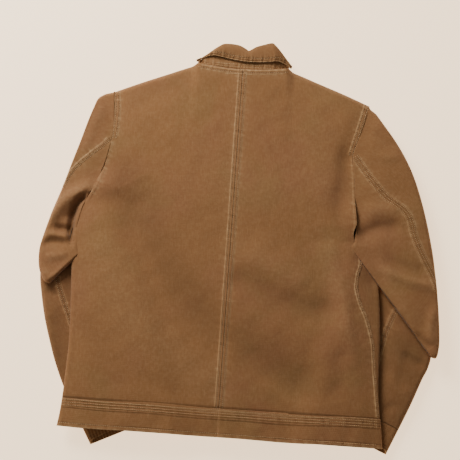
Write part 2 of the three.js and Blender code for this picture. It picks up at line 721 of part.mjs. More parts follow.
for (const side of sides) {
  const { cap, at } = cuffButton(side);
  add(`cuff_button_${side}`, "brass", cap, at);
}
add("hang_loop", "duck_facing", hangLoop());
add("neck_label", "label", neckLabel());

// Everything is moved so that the whole jacket's bounding box stands on the origin, in the middle.
const around = new THREE.Box3().setFromObject(jacket);
const middle = around.getCenter(new THREE.Vector3());
for (const mesh of jacket.children) {
  mesh.position.sub(new THREE.Vector3(middle.x, middle.y, around.min.z));
}
jacket.updateMatrixWorld(true);

export default jacket;
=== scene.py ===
"""A canvas work jacket, laid face down with its back uppermost and its forearms folded under the body.

Every surface is worked out in the jacket's own measure, millimetres across from the centre back seam and up from
the hem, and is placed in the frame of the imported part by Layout. Each panel of cloth is a grid of points that a
small class lays out: the body's cloth, each sleeve's two lengths, the waistband, the cuffs and the collar.
"""

from __future__ import annotations

import logging
import math
from dataclasses import dataclass, field
from enum import Enum
from typing import Callable, Sequence

import bpy
import numpy as np
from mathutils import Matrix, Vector
from mathutils.bvhtree import BVHTree


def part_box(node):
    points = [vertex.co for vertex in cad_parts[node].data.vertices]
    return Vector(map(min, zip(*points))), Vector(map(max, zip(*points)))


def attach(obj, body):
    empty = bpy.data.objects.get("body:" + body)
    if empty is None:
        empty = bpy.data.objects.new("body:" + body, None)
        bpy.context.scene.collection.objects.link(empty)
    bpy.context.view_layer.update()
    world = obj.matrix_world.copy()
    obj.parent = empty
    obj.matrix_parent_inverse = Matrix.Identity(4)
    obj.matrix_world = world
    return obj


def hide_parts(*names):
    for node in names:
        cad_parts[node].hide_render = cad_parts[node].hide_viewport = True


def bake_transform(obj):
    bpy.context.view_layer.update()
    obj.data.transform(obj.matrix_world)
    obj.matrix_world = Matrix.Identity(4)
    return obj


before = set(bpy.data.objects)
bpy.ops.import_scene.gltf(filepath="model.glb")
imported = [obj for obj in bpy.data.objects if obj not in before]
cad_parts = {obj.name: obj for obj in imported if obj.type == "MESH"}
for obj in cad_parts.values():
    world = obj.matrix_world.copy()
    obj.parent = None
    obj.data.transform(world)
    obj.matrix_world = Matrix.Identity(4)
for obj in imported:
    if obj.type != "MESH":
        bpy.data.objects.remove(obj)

LOG = logging.getLogger("jacket")
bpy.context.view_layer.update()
UP, DOWN = Vector((0, 0, 1)), Vector((0, 0, -1))
LEAST_FILLED = 0.31  # the least share of its rectangle that a piece of cloth is said to fill
Line = Sequence[tuple[float, float]]
Relief = Callable[[np.ndarray, np.ndarray], np.ndarray]  # gives height, and wear with painted shade and light, from place


# ---- Measures and curves ---------------------------------------------------------------------------------------


class Side(Enum):
    """The wearer's two sides, with the direction of each across the back."""

    LEFT = "left"
    RIGHT = "right"

    @property
    def sign(self) -> float:
        """-1 to the left of the centre back, and 1 to the right."""
        return -1.0 if self is Side.LEFT else 1.0


@dataclass(frozen=True)
class Layout:
    """Turns the jacket's millimetres into metres in the part's frame."""

    across: float
    up: float

    @classmethod
    def from_frame(cls) -> "Layout":
        """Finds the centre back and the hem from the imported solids."""
        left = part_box("back_panel_left")[1].x
        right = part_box("back_panel_right")[0].x
        return cls((left + right) / 2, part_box("waistband")[0].y)

    def place(self, points: np.ndarray) -> np.ndarray:
        """Places points.

        Args:
            points: an array whose last axis is across, up and high, in millimetres.

        Returns:
            The same points in metres, in the part's frame.
        """
        return np.asarray(points, float) / 1000 + np.array([self.across, self.up, 0.0])

    def at(self, x: float, y: float, z: float) -> Vector:
        """One point, placed."""
        return Vector(self.place(np.array([x, y, z])))


LAYOUT = Layout.from_frame()


def eased(x: np.ndarray | float, low: float, high: float) -> np.ndarray:
    """A smooth step from 0 at low to 1 at high."""
    t = np.clip((np.asarray(x, float) - low) / (high - low), 0, 1)
    return t * t * (3 - 2 * t)


def mix(a: np.ndarray | float, b: np.ndarray | float, t: np.ndarray | float) -> np.ndarray | float:
    """a at 0 and b at 1."""
    return a + (b - a) * t


def bell(x: np.ndarray, width: float | np.ndarray) -> np.ndarray:
    """1 at 0, dying away on both sides over a width."""
    return np.exp(-((x / width) ** 2))


def rounded(distance: np.ndarray, radius: float) -> np.ndarray:
    """How far open a rounded end is at a distance from its tip: almost 0 at the tip, and 1 past the radius."""
    return np.sqrt(np.clip(1 - (1 - np.clip(distance / radius, 0, 1)) ** 2, 0.0004, 1))


def curve(points: Line, step: float = 4.0) -> np.ndarray:
    """A smooth curve through points, as a fine polyline.

    Args:
        points: the places it passes through.
        step: the length of each of its pieces, in millimetres.

    Returns:
        An array of places, evenly spaced along the curve.
    """
    p = np.array(points, float)
    ends = np.vstack([2 * p[0] - p[1], p, 2 * p[-1] - p[-2]])
    t = np.linspace(0, 1, 24, endpoint=False)[:, None]
    pieces = []
    for a, b, c, d in zip(ends, ends[1:], ends[2:], ends[3:]):
        pieces.append(
            0.5 * (2 * b + (c - a) * t + (2 * a - 5 * b + 4 * c - d) * t**2 + (3 * b - a - 3 * c + d) * t**3)
        )
    dense = np.vstack([*pieces, p[-1:]])
    gone = np.concatenate([[0], np.cumsum(np.linalg.norm(np.diff(dense, axis=0), axis=1))])
    at = np.linspace(0, gone[-1], max(int(gone[-1] / step), 2) + 1)
    return np.column_stack([np.interp(at, gone, dense[:, k]) for k in range(dense.shape[1])])


def share_along(line: np.ndarray, share: np.ndarray) -> np.ndarray:
    """Points at shares of the way along an evenly spaced line."""
    at = np.clip(share, 0, 1) * (len(line) - 1)
    grid = np.arange(len(line))
    return np.stack([np.interp(at, grid, line[:, k]) for k in range(line.shape[1])], axis=-1)


def beside(line: np.ndarray, x: np.ndarray, y: np.ndarray) -> tuple[np.ndarray, np.ndarray, np.ndarray]:
    """Where points lie beside a line.

    Args:
        line: the line's places.
        x: the points' places across.
        y: the points' places up.

    Returns:
        Each point's distance, which is positive to the right of the line's way, its distance along the line,
        and its distance from the nearer end of the line.
    """
    best = np.full(np.shape(x), 1e9)
    signed = np.zeros(np.shape(x))
    length = np.zeros(np.shape(x))
    gone = 0.0
    for (x0, y0), (x1, y1) in zip(line[:-1], line[1:]):
        dx, dy = x1 - x0, y1 - y0
        run = math.hypot(dx, dy)
        t = np.clip(((x - x0) * dx + (y - y0) * dy) / run**2, 0, 1)
        off = np.hypot(x - x0 - t * dx, y - y0 - t * dy)
        nearer = off < best
        best = np.where(nearer, off, best)
        signed = np.where(nearer, np.where((x - x0) * dy - (y - y0) * dx > 0, off, -off), signed)
        length = np.where(nearer, gone + t * run, length)
        gone += run
    return signed, length, np.minimum(length, gone - length)


def ripples(x: np.ndarray, y: np.ndarray, wave: float, height: float, seed: int) -> np.ndarray:
    """Small even unevenness of a surface.

    Args:
        x: places across, in millimetres.
        y: places up, in millimetres.
        wave: the usual length of one ripple.
        height: the usual height of one.
        seed: picks the pattern.

    Returns:
        The height at each place.
    """
    rng = np.random.default_rng(seed)
    total = np.zeros(np.shape(x))
    for _ in range(14):
        way, phase = rng.uniform(0, 2 * math.pi, 2)
        k = 2 * math.pi / (wave * rng.uniform(0.6, 1.7))
        total = total + np.sin(k * (x * math.cos(way) + y * math.sin(way)) + phase)
    return total * height / math.sqrt(14)


@dataclass(frozen=True)
class Crease:
    """A fold in the cloth: a ridge where its height is positive, and a valley where it is negative."""

    line: Line
    height: float
    left: float  # how far it reaches to the left of the line's way
    right: float
    fade: float = 30.0  # the length over which each end dies away

    def relief(self, x: np.ndarray, y: np.ndarray) -> np.ndarray:
        """Its height at each place."""
        off, _, end = beside(curve(self.line, 9), x, y)
        reach = np.where(off > 0, self.right, self.left)
        return self.height * bell(off, reach) * eased(end + 0.35 * self.fade, 0, self.fade)


@dataclass(frozen=True)
class Seam:
    """A sewn seam: a strip of doubled cloth with rows of stitches sunk in it and puckers beside them."""

    line: Line
    rows: tuple[float, ...] = (0.0,)  # each row's distance to the right of the line
    strip: tuple[float, float] = (0.0, 0.0)  # the doubled cloth's two edges
    rise: float = 0.9
    pucker: float = 0.17
    rub: float = 1.0  # how pale its edges are worn
    seed: int = 1  # picks where the puckers fall
    sunk: float = 0.42  # how deep each row of stitches pulls the cloth in
    waves = (5.3, 7.9, 11.7, 17.0)  # the lengths of the puckers along the seam

    def relief(self, x: np.ndarray, y: np.ndarray) -> tuple[np.ndarray, np.ndarray]:
        """The seam's height and its wear at each place.

        Args:
            x: places across.
            y: places up.

        Returns:
            The height in millimetres, and the wear: above 0 where the cloth is rubbed pale, below 0 where it
            has kept its depth of colour.
        """
        off, along, end = beside(curve(self.line, 5), x, y)
        low, high = self.strip
        middle = (low + high) / 2
        inside = eased(off, low - 0.7, low + 0.7) * (1 - eased(off, high - 0.7, high + 0.7))
        near = bell(off - middle, 5 + (high - low) / 2) * eased(end, -0.1, 6)
        rng = np.random.default_rng(self.seed)
        wave = np.zeros(np.shape(x))
        for length in self.waves:
            wave = wave + np.sin(2 * math.pi * along / length + rng.uniform(0, 6.3) + 0.12 * off)
        wave = wave / 2
        groove = sum(bell(off - row, 1.0) for row in self.rows) * eased(end, -0.1, 2)
        height = self.rise * inside * eased(end, -0.1, 2) - self.sunk * groove + self.pucker * wave * near
        rim = bell(off - low, 1.2) + bell(off - high, 1.2)
        wear_and_shade = near * (0.16 * wave + 0.16) + 0.75 * self.rub * rim * near * (high > low) - 0.9 * groove
        return height, wear_and_shade

    def row_lines(self) -> list[np.ndarray]:
        """The plan of each row of stitches."""
        line = curve(self.line, 3)
        way = np.gradient(line, axis=0)
        way /= np.linalg.norm(way, axis=1)[:, None]
        return [line + row * np.column_stack([way[:, 1], -way[:, 0]]) for row in self.rows]


def work_into(x: np.ndarray, y: np.ndarray, creases: Sequence[Crease], seams: Sequence[Seam]) -> np.ndarray:
    """The joint height of several creases and seams, and their wear with painted shade and light.

    Args:
        x: places across.
        y: places up.
        creases: the folds.
        seams: the seams.

    Returns:
        Two arrays in one: the height, and the wear with painted shade and light, at each place.
    """
    height = sum((c.relief(x, y) for c in creases), np.zeros(np.shape(x)))
    # Painted shade and light: valleys are coloured darker and ridges paler, in step with the folds' height.
    wear_and_shade = 0.03 * height
    for seam in seams:
        rise, rub = seam.relief(x, y)
        height, wear_and_shade = height + rise, wear_and_shade + rub
    return np.stack([height, wear_and_shade])


# ---- Meshes ----------------------------------------------------------------------------------------------------


@dataclass
class Sheet:
    """A grid of points on one piece of cloth, with the wear and painted shade at each, in the jacket's millimetres.
    """

    points: np.ndarray  # rows, columns, 3
    wear_and_shade: np.ndarray | None = None

    def cut_size(self) -> tuple[float, float, float]:
        """The size the piece was cut to, measured along the cloth.

        Returns:
            Its width, its length and its area, in metres and square metres.
        """
        p = self.points / 1000
        across = np.linalg.norm(np.diff(p, axis=1), axis=2)
        along = np.linalg.norm(np.diff(p, axis=0), axis=2)
        a, b = p[1:, :-1] - p[:-1, :-1], p[:-1, 1:] - p[:-1, :-1]
        c, d = p[1:, :-1] - p[1:, 1:], p[:-1, 1:] - p[1:, 1:]
        area = (np.linalg.norm(np.cross(a, b), axis=2) + np.linalg.norm(np.cross(c, d), axis=2)).sum() / 2
        return float(across.sum(1).max()), float(along.sum(0).max()), float(area)

    def build(self, name: str, thick: float, outward: Vector, closed: bool = False) -> bpy.types.Object:
        """Makes the piece, with its thickness inward of its points.

        Args:
            name: the piece's name.
            thick: the cloth's thickness in millimetres.
            outward: the way its outer face points, at its furthest point that way.
            closed: whether its last column joins its first.

        Returns:
            The new object.
        """
        p = self.points
        rows, columns = p.shape[:2]
        index = np.arange(rows * columns).reshape(rows, columns)
        if closed:
            index = np.hstack([index, index[:, :1]])
        quads = np.stack([index[:-1, :-1], index[:-1, 1:], index[1:, 1:], index[1:, :-1]], axis=-1).reshape(-1, 4)
        placed = LAYOUT.place(p).reshape(-1, 3)
        i = int(np.argmax(placed @ np.array(outward)))
        row, column = min(max(i // columns, 1), rows - 2), min(max(i % columns, 1), columns - 2)
        normal = np.cross(p[row, column + 1] - p[row, column - 1], p[row + 1, column] - p[row - 1, column])
        if normal @ np.array(outward) < 0:
            quads = quads[:, ::-1]
        mesh = bpy.data.meshes.new(name)
        mesh.from_pydata(placed.tolist(), [], quads.tolist())
        across = np.linalg.norm(np.diff(p, axis=1), axis=2)
        along = np.linalg.norm(np.diff(p, axis=0), axis=2)
        u = np.concatenate([np.zeros((rows, 1)), np.cumsum(across, axis=1)], 1)
        v = np.concatenate([np.zeros((1, columns)), np.cumsum(along, axis=0)], 0)
        flat = np.stack([u, v], axis=-1).reshape(-1, 2) / 1000
        uv = mesh.uv_layers.new(name="cloth")
        loops = np.zeros(len(mesh.loops), np.int32)
        mesh.loops.foreach_get("vertex_index", loops)
        uv.data.foreach_set("uv", flat[loops].ravel().astype(np.float32))
        wear_and_shade = np.zeros(rows * columns) if self.wear_and_shade is None else self.wear_and_shade.ravel()
        mesh.attributes.new("wear_and_shade", "FLOAT", "POINT").data.foreach_set("value", wear_and_shade.astype(np.float32))
        piece = linked(name, mesh)
        shell = piece.modifiers.new("thickness", "SOLIDIFY")
        shell.thickness = thick / 1000
        shell.offset = -1
        return settle(piece)


def linked(name: str, data: bpy.types.ID) -> bpy.types.Object:
    """A new object in the scene."""
    made = bpy.data.objects.new(name, data)
    bpy.context.scene.collection.objects.link(made)
    return made


def settle(piece: bpy.types.Object) -> bpy.types.Object:
    """Applies a piece's modifiers and smooths its faces."""
    bpy.context.view_layer.update()
    done = piece.evaluated_get(bpy.context.evaluated_depsgraph_get())
    mesh = bpy.data.meshes.new_from_object(done)
    piece.modifiers.clear()
    piece.data = mesh
    mesh.polygons.foreach_set("use_smooth", [True] * len(mesh.polygons))
    return piece


# ---- Finishes --------------------------------------------------------------------------------------------------


def linear(hexed: str) -> tuple[float, float, float, float]:
    """An sRGB hex colour as linear values."""
    parts = [int(hexed[i : i + 2], 16) / 255 for i in (1, 3, 5)]
    return (*(c / 12.92 if c <= 0.04045 else ((c + 0.055) / 1.055) ** 2.4 for c in parts), 1.0)


def add(tree: bpy.types.NodeTree, kind: str, links: dict | None = None, **settings: object) -> bpy.types.Node:
    """Adds a node.

    Args:
        tree: the tree it goes in.
        kind: its type.
        links: for each input, by name or number, the output that feeds it, or its value.
        settings: its own settings.

    Returns:
        The node.
    """
    made = tree.nodes.new(kind)
    for key, value in settings.items():
        setattr(made, key, value)
    for key, value in (links or {}).items():
        if isinstance(value, bpy.types.NodeSocket):
            tree.links.new(value, made.inputs[key])
        else:
            made.inputs[key].default_value = value
    return made


def fresh(name: str) -> tuple[bpy.types.Material, bpy.types.NodeTree]:
    """An empty material and its tree."""
    material = bpy.data.materials.new(name)
    material.use_nodes = True
    material.node_tree.nodes.clear()
    return material, material.node_tree


def wave_scale(spacing: float) -> float:
    """The scale of a wave texture on a map in metres, for threads some millimetres apart.

    At scale 1 it has about 3.2 waves to the metre, and each wave is two threads, one over and one under.
    """
    return 1000 / spacing / 3.2 / 2


@dataclass(frozen=True)
class DuckCanvas:
    """Cotton duck: a heavy plain weave, piece-dyed and washed until it is matt, soft and unevenly faded."""

    name: str
    slot: str  # the record's material slot that it belongs to
    dye: str  # the cloth's usual colour
    warm: str  # where the dye has gone redder
    olive: str  # and where it has gone greener
    rubbed_and_lit: str  # ridges worn pale, and the painted light on fold ridges and on the collar's edge
    deep_dye_and_shade: str  # beside the stitches, where the dye has stayed, and the painted shade in fold valleys, on the forearms and above the band
    thread: float = 1.5  # mm between threads: real duck is about 0.6, drawn coarser so that it shows
    weave: float = 0.22  # how strongly the threads stand out
    rib: float = 0.0  # the width of each rib in mm, where it has them
    roughness: float = 0.92
    sheen: float = 0.12  # the nap left by washing

    def material(self) -> bpy.types.Material:
        """Builds the material."""
        made, tree = fresh(self.name)
        here = add(tree, "ShaderNodeTexCoord").outputs["Object"]
        cloth = add(tree, "ShaderNodeUVMap", uv_map="cloth").outputs["UV"]
        wear_and_shade = add(tree, "ShaderNodeAttribute", attribute_name="wear_and_shade").outputs["Fac"]

        def blotch(scale: float, detail: float, low: float, high: float) -> bpy.types.NodeSocket:
            """Soft patches: scale is how many there are to a metre."""
            noise = add(tree, "ShaderNodeTexNoise", {"Vector": here, "Scale": scale, "Detail": detail})
            ramp = {0: noise.outputs["Fac"], 1: low, 2: high}
            return add(tree, "ShaderNodeMapRange", ramp, interpolation_type="SMOOTHSTEP").outputs[0]

        def tint(share: object, first: object, second: object) -> bpy.types.NodeSocket:
            """Mixes two colours."""
            return add(tree, "ShaderNodeMix", {0: share, 6: first, 7: second}, data_type="RGBA").outputs[2]

        def maths(kind: str, first: object, second: object, clamp: bool = False) -> bpy.types.NodeSocket:
            """One sum on two numbers."""
            return add(tree, "ShaderNodeMath", {0: first, 1: second}, operation=kind, use_clamp=clamp).outputs[0]

        # Patches a hand wide of redder and greener dye, and finer mottling a few millimetres across.
        colour = tint(blotch(7, 2, 0.42, 0.68), linear(self.dye), linear(self.warm))
        colour = tint(maths("MULTIPLY", blotch(11, 3, 0.5, 0.72), 0.8), colour, linear(self.olive))
        fine = blotch(190, 3, 0.35, 0.75)
        colour = tint(maths("MULTIPLY", fine, 0.09), colour, linear(self.rubbed_and_lit))
        slub = add(tree, "ShaderNodeMapping", {"Vector": cloth, "Scale": (900.0, 60.0, 1.0)}).outputs[0]
        streak = add(tree, "ShaderNodeTexNoise", {"Vector": slub, "Scale": 1.0, "Detail": 1.0}).outputs["Fac"]
        colour = tint(maths("MULTIPLY", maths("SUBTRACT", streak, 0.45, True), 0.35), colour, linear(self.rubbed_and_lit))
        # Above 0 the wear turns the cloth pale and below 0 deep: this carries real wear, and painted light and shade
        # as well.
        pale = maths("MULTIPLY", maths("MAXIMUM", wear_and_shade, 0.0), maths("ADD", maths("MULTIPLY", fine, 0.6), 0.5))
        colour = tint(maths("MINIMUM", pale, 0.85), colour, linear(self.rubbed_and_lit))
        kept = maths("MULTIPLY", maths("MINIMUM", wear_and_shade, 0.0), -1.0)
        colour = tint(maths("MINIMUM", kept, 0.9), colour, linear(self.deep_dye_and_shade))

        # The weave: warp and weft cross at right angles, at the spacing of the threads.
        wave = {"Vector": cloth, "Scale": wave_scale(self.thread), "Distortion": 0.6, "Detail": 1.0}
        wave |= {"Detail Scale": 40.0}
        threads = []
        for direction in ("X", "Y"):
            made_wave = add(tree, "ShaderNodeTexWave", wave, bands_direction=direction, wave_profile="SIN")
            threads.append(made_wave.outputs["Fac"])
        height = maths("MULTIPLY", *threads)
        if self.rib:
            ribs = {"Vector": cloth, "Scale": wave_scale(self.rib)}
            ridge = add(tree, "ShaderNodeTexWave", ribs, bands_direction="X").outputs["Fac"]
            height = maths("ADD", height, maths("MULTIPLY", ridge, 6.0))
            colour = tint(maths("MULTIPLY", ridge, 0.4), colour, linear(self.rubbed_and_lit))
        fuzz = add(tree, "ShaderNodeTexNoise", {"Vector": here, "Scale": 420.0, "Detail": 3.0}).outputs["Fac"]
        height = maths("ADD", height, maths("MULTIPLY", fuzz, 1.6))
        rumple = add(tree, "ShaderNodeTexNoise", {"Vector": here, "Scale": 62.0, "Detail": 3.0}).outputs["Fac"]
        bump = add(tree, "ShaderNodeBump", {"Strength": self.weave, "Distance": 0.0006, "Height": height})
        soft = {"Strength": 0.22, "Distance": 0.0035, "Height": rumple, "Normal": bump.outputs[0]}
        soft_bump = add(tree, "ShaderNodeBump", soft)
        shader = {
            "Base Color": colour,
            "Roughness": self.roughness,
            "Specular IOR Level": 0.25,
            "Sheen Weight": self.sheen,
            "Sheen Roughness": 0.5,
            "Normal": soft_bump.outputs[0],
        }
        surface = add(tree, "ShaderNodeBsdfPrincipled", shader)
        add(tree, "ShaderNodeOutputMaterial", {"Surface": surface.outputs[0]})
        return made


@dataclass(frozen=True)
class PlainFinish:
    """A plain cloth, thread or metal, with fine unevenness in its colour and surface."""

    name: str
    slot: str
    base: str
    second: str  # the colour that its patches turn to
    roughness: float
    metallic: float = 0.0
    grain: float = 500.0  # patches to a metre
    bump: float = 0.15

    def material(self) -> bpy.types.Material:
        """Builds the material."""
        made, tree = fresh(self.name)
        here = add(tree, "ShaderNodeTexCoord").outputs["Object"]
        noise = add(tree, "ShaderNodeTexNoise", {"Vector": here, "Scale": self.grain, "Detail": 3.0}).outputs["Fac"]
        colours = {0: noise, 6: linear(self.base), 7: linear(self.second)}
        colour = add(tree, "ShaderNodeMix", colours, data_type="RGBA").outputs[2]
        bump = add(tree, "ShaderNodeBump", {"Strength": self.bump, "Distance": 0.0003, "Height": noise})
        shader = {
            "Base Color": colour,
            "Roughness": self.roughness,
            "Metallic": self.metallic,
            "Normal": bump.outputs[0],
        }
        surface = add(tree, "ShaderNodeBsdfPrincipled", shader)
        add(tree, "ShaderNodeOutputMaterial", {"Surface": surface.outputs[0]})
        return made


class Finish(Enum):
    """The jacket's finishes. Each is built once, when it is first asked for."""

    DUCK = DuckCanvas("washed_brown_duck", "duck", "#89603b", "#895e3d", "#85613b", "#be9c72", "#452f1d")
    # The inner side never sees the sun, so it is darker and has kept its dye.
    FACING = DuckCanvas("unfaded_duck", "duck_facing", "#6f4a2d", "#704730", "#6a4b2b", "#8d6a48", "#3e2817")
    # The cuff's facing shows its woven ribs.
    CUFF = DuckCanvas("ribbed_cuff_duck", "duck", "#7d5632", "#7a5030", "#76562f", "#ad875d", "#4a3019", rib=2.6)
    # Cotton-wrapped polyester, sewn in a pale tan: a soft low gloss.
    THREAD = PlainFinish("tan_thread", "duck", "#d3b084", "#b58f62", 0.6, grain=900.0)
    # Plain twill lining, a little shiny.
    LINING = PlainFinish("brown_lining", "lining", "#33271f", "#241b16", 0.6)
    POCKET = PlainFinish("pocketing", "pocket_cloth", "#9a8a72", "#85765f", 0.85)
    TAPE = PlainFinish("zip_tape", "zip_tape", "#4a3524", "#3a291b", 0.8)
    LABEL = PlainFinish("woven_label", "label", "#b7a88c", "#a3947a", 0.7)
    # Antiqued brass: bright where it is rubbed and brown where it isn't.
    BRASS = PlainFinish("antiqued_brass", "brass", "#b08a48", "#7c5d2e", 0.38, metallic=1.0, grain=260.0)

    @property
    def material(self) -> bpy.types.Material:
        """The finish's material."""
        return bpy.data.materials.get(self.value.name) or self.value.material()

    @property
    def slot(self) -> str:
        """The record's material slot that the finish belongs to."""
        return self.value.slot


def dress(piece: bpy.types.Object, finish: Finish) -> None:
    """Gives a piece its material."""
    piece.data.materials.clear()
    piece.data.materials.append(finish.material)


# ---- The body's cloth ------------------------------------------------------------------------------------------


@dataclass(frozen=True)
class BodyCloth:
    """The surface that the body's panels, band and lining lie on."""

    back_length: float = 640  # from the hem to the neck seam
    band: float = 47  # the waistband's height
    neck_half: float = 82  # half the width of the neck
    neck_rise: float = 8  # how far the neck seam rises to the side of the neck
    front_drop: float = 71  # how much lower the front neckline is
    thick: float = 30  # from the floor to the outside of the back, where no forearm lies under it
    roll: float = 10  # how far in from the side fold the cloth starts to turn over
    sink: float = 9  # how much lower the cloth lies near its edges
    forearm: float = 15  # the flattened forearm's thickness
    clear: float = 2.2  # between a forearm and the front that lies over it
    zip_edge: float = 9  # distance of each front edge from the middle of the zip
    arch: float = 6  # how far the fronts are lifted over the zip and over the collar

    shoulder = {Side.LEFT: (227.0, 588.0), Side.RIGHT: (230.0, 593.0)}
    underarm = {Side.LEFT: 392.0, Side.RIGHT: 352.0}
    # How far round to the back the side seam lies, at heights up from the hem.
    seam_round = {
        Side.LEFT: ((0, 0.5), (350, 0.5)),
        Side.RIGHT: ((0, 3), (88, 6), (129, 12), (170, 16), (195, 22), (220, 30), (241, 39), (264, 43), (286, 38),
                     (306, 26), (330, 15), (400, 15)),
    }
    # Distance of the side fold, and of the armhole above it, from the centre back, at heights up from the hem.
    side_fold = {
        Side.LEFT: ((0, 268), (25, 265), (60, 263), (110, 262), (150, 262), (230, 267), (300, 273), (335, 273),
                    (366, 269), (400, 250), (450, 232), (500, 223), (541, 223), (588, 228)),
        Side.RIGHT: ((0, 273), (52, 268), (100, 264), (191, 263), (250, 259), (300, 250), (345, 222), (373, 216),
                     (417, 211), (453, 209), (494, 204), (529, 214), (563, 223), (593, 231)),
    }
    # The same for the inner edge of the forearm under the front.
    forearm_edge = {
        Side.LEFT: ((30, 92), (150, 140), (240, 176), (325, 222), (390, 246)),
        Side.RIGHT: ((40, 164), (120, 190), (205, 214), (290, 228), (370, 216)),
    }

    def edge(self, side: Side, y: np.ndarray) -> np.ndarray:
        """Distance of the side fold, and of the armhole above it, from the centre back."""
        line = curve([(h, d) for h, d in self.side_fold[side]], 3)
        return np.interp(y, line[:, 0], line[:, 1])

    def lift(self, x: np.ndarray, y: np.ndarray) -> np.ndarray:
        """How far the forearms lift the front off the floor."""
        total = np.zeros(np.shape(x))
        for side in Side:
            ys, xs = zip(*self.forearm_edge[side])
            inward = np.interp(y, ys, xs) - side.sign * x
            top = ys[-1]
            amount = (1 - eased(inward, 8, 58)) * (1 - eased(y, top + 16, top + 60))
            total = np.where(side.sign * x > 0, amount, total)
        return total * (self.forearm + self.clear)

    def front_level(self, x: np.ndarray, y: np.ndarray) -> np.ndarray:
        """The height of the outside of the front, which lies on the floor."""
        over_zip = self.arch * (1 - eased(np.abs(x), 28, 64))
        over_collar = self.arch * (1 - eased(np.abs(x), 100, 140)) * eased(y, 455, 485)
        return np.maximum(self.lift(x, y), np.maximum(over_zip, over_collar))

    def back_level(self, x: np.ndarray, y: np.ndarray) -> np.ndarray:
        """The height of the back, before its folds."""
        return self.thick + 0.42 * self.lift(x, y)

    def top_of(self, x: np.ndarray, side: Side, front: bool) -> np.ndarray:
        """Height up the jacket of the neck seam and the shoulder seam."""
        d = np.abs(x)
        neck = self.back_length + self.neck_rise
        low = self.back_length - (self.front_drop if front else 0)
        inside = mix(low, neck, np.clip(d / self.neck_half, 0, 1) ** (2.4 if front else 2))
        tip, height = self.shoulder[side]
        t = np.clip((d - self.neck_half) / (tip - self.neck_half), 0, 1)
        return np.where(d < self.neck_half, inside, mix(neck, height, t) + 5 * t * (1 - t))

    def opened(self, side: Side, y: np.ndarray) -> np.ndarray:
        """0 beside the side fold, and 1 up the armhole, where the cloth runs flat to the seam."""
        return eased(y, self.underarm[side] - 16, self.underarm[side] + 22)

    def turnover(self, side: Side, y: np.ndarray) -> tuple[np.ndarray, np.ndarray]:
        """How far in the cloth starts to turn over, and the length of cloth in the turn."""
        open_ = self.opened(side, y)
        roll, half = mix(self.roll, 1.6, open_), mix(self.thick / 2 - self.sink / 2, 1.6, open_)
        return roll, math.pi / 2 * np.sqrt((roll**2 + half**2) / 2)

    def surface(
        self, side: Side, round_: np.ndarray, up: np.ndarray, inset: float, base: float, bump: Relief | None
    ) -> tuple[np.ndarray, np.ndarray]:
        """Points of one layer of the body.

        Args:
            side: which side.
            round_: distance from the side fold along the cloth, in millimetres: over the back where it is
                positive, and under the front where it is negative.
            up: the share of the way from the base to the neck or shoulder seam.
            inset: how deep the layer lies inside the outer face of the body.
            base: height of the layer's bottom edge.
            bump: gives height, and wear with painted shade, from place, or None.

        Returns:
            The points, and the wear with painted shade at each.
        """
        front = round_ < 0
        across = np.abs(round_)
        height = mix(base, self.shoulder[side][1], up)
        edge = self.edge(side, height)
        roll, quarter = self.turnover(side, height)
        turn = np.clip(across / quarter, 0, 1) * math.pi / 2
        past = np.maximum(across - quarter, 0)
        inward = inset * mix(1, 0.4, self.opened(side, height)) + roll * (1 - np.cos(turn)) + past
        x = side.sign * (edge - inward)
        at_shoulder = eased(np.abs(x), self.neck_half - 6, self.neck_half + 12)
        top = np.where(front, self.top_of(x, side, True), self.top_of(x, side, False)) - inset * at_shoulder
        y = mix(base, top, up)
        share = np.clip(np.abs(x) / edge, 0, 1) ** 6
        x = x + side.sign * share * (self.edge(side, y) - edge)
        near = np.clip((top - y) / 12, 0, 1)
        over = mix(1, np.sqrt(np.clip(1 - (1 - near) ** 2, 0, 1)), at_shoulder)
        low, high = self.front_level(x, y), self.back_level(x, y) - self.drop(x, y, side, top)
        middle = (low + high) / 2
        half = np.maximum((high - low) / 2 - inset, 0.2)
        wear_and_shade = np.zeros(np.shape(x))
        rise = np.zeros(np.shape(x))
        if bump is not None:
            rise, wear_and_shade = bump(x, y)
            rise = np.where(front, np.minimum(rise, 0.0), rise)
        z = middle + np.where(front, -half, half + rise) * np.sin(turn) * over
        return np.stack([x, y, np.maximum(z, inset)], axis=-1), wear_and_shade

    def drop(self, x: np.ndarray, y: np.ndarray, side: Side, top: np.ndarray) -> np.ndarray:
        """How much lower the back lies near its edges than in its middle."""
        inward = self.edge(side, y) - np.abs(x)
        low_side = self.sink * np.exp(-np.maximum(inward - self.roll, 0) / 42) * (1 - self.opened(side, y))
        shoulder = self.sink * 0.9 * np.exp(-np.maximum(top - y, 0) / 38)
        armhole = 2.6 * bell(inward, 26) * self.opened(side, y)
        return low_side + shoulder * eased(np.abs(x), self.neck_half - 6, self.neck_half + 12) + armhole

    def across_at(self, side: Side, up: np.ndarray, x: float | np.ndarray, base: float) -> np.ndarray:
        """Distance in from the side fold, along the cloth, of a place x from the centre back."""
        height = mix(base, self.shoulder[side][1], up)
        roll, quarter = self.turnover(side, height)
        return quarter + self.edge(side, height) - roll - x

    def panel_start(self, side: Side, up: np.ndarray, base: float, front: bool) -> np.ndarray:
        """How far round from the side fold a panel starts: at the side seam, and at the armhole higher up."""
        y = mix(base, self.shoulder[side][1], up)
        seam = np.interp(y, *zip(*self.seam_round[side]))
        quarter = self.turnover(side, y)[1]
        edge = -quarter * 0.9 if front else quarter * 0.9
        return mix(seam - (0.15 if front else 0.0), edge, self.opened(side, y))


BODY = BodyCloth()


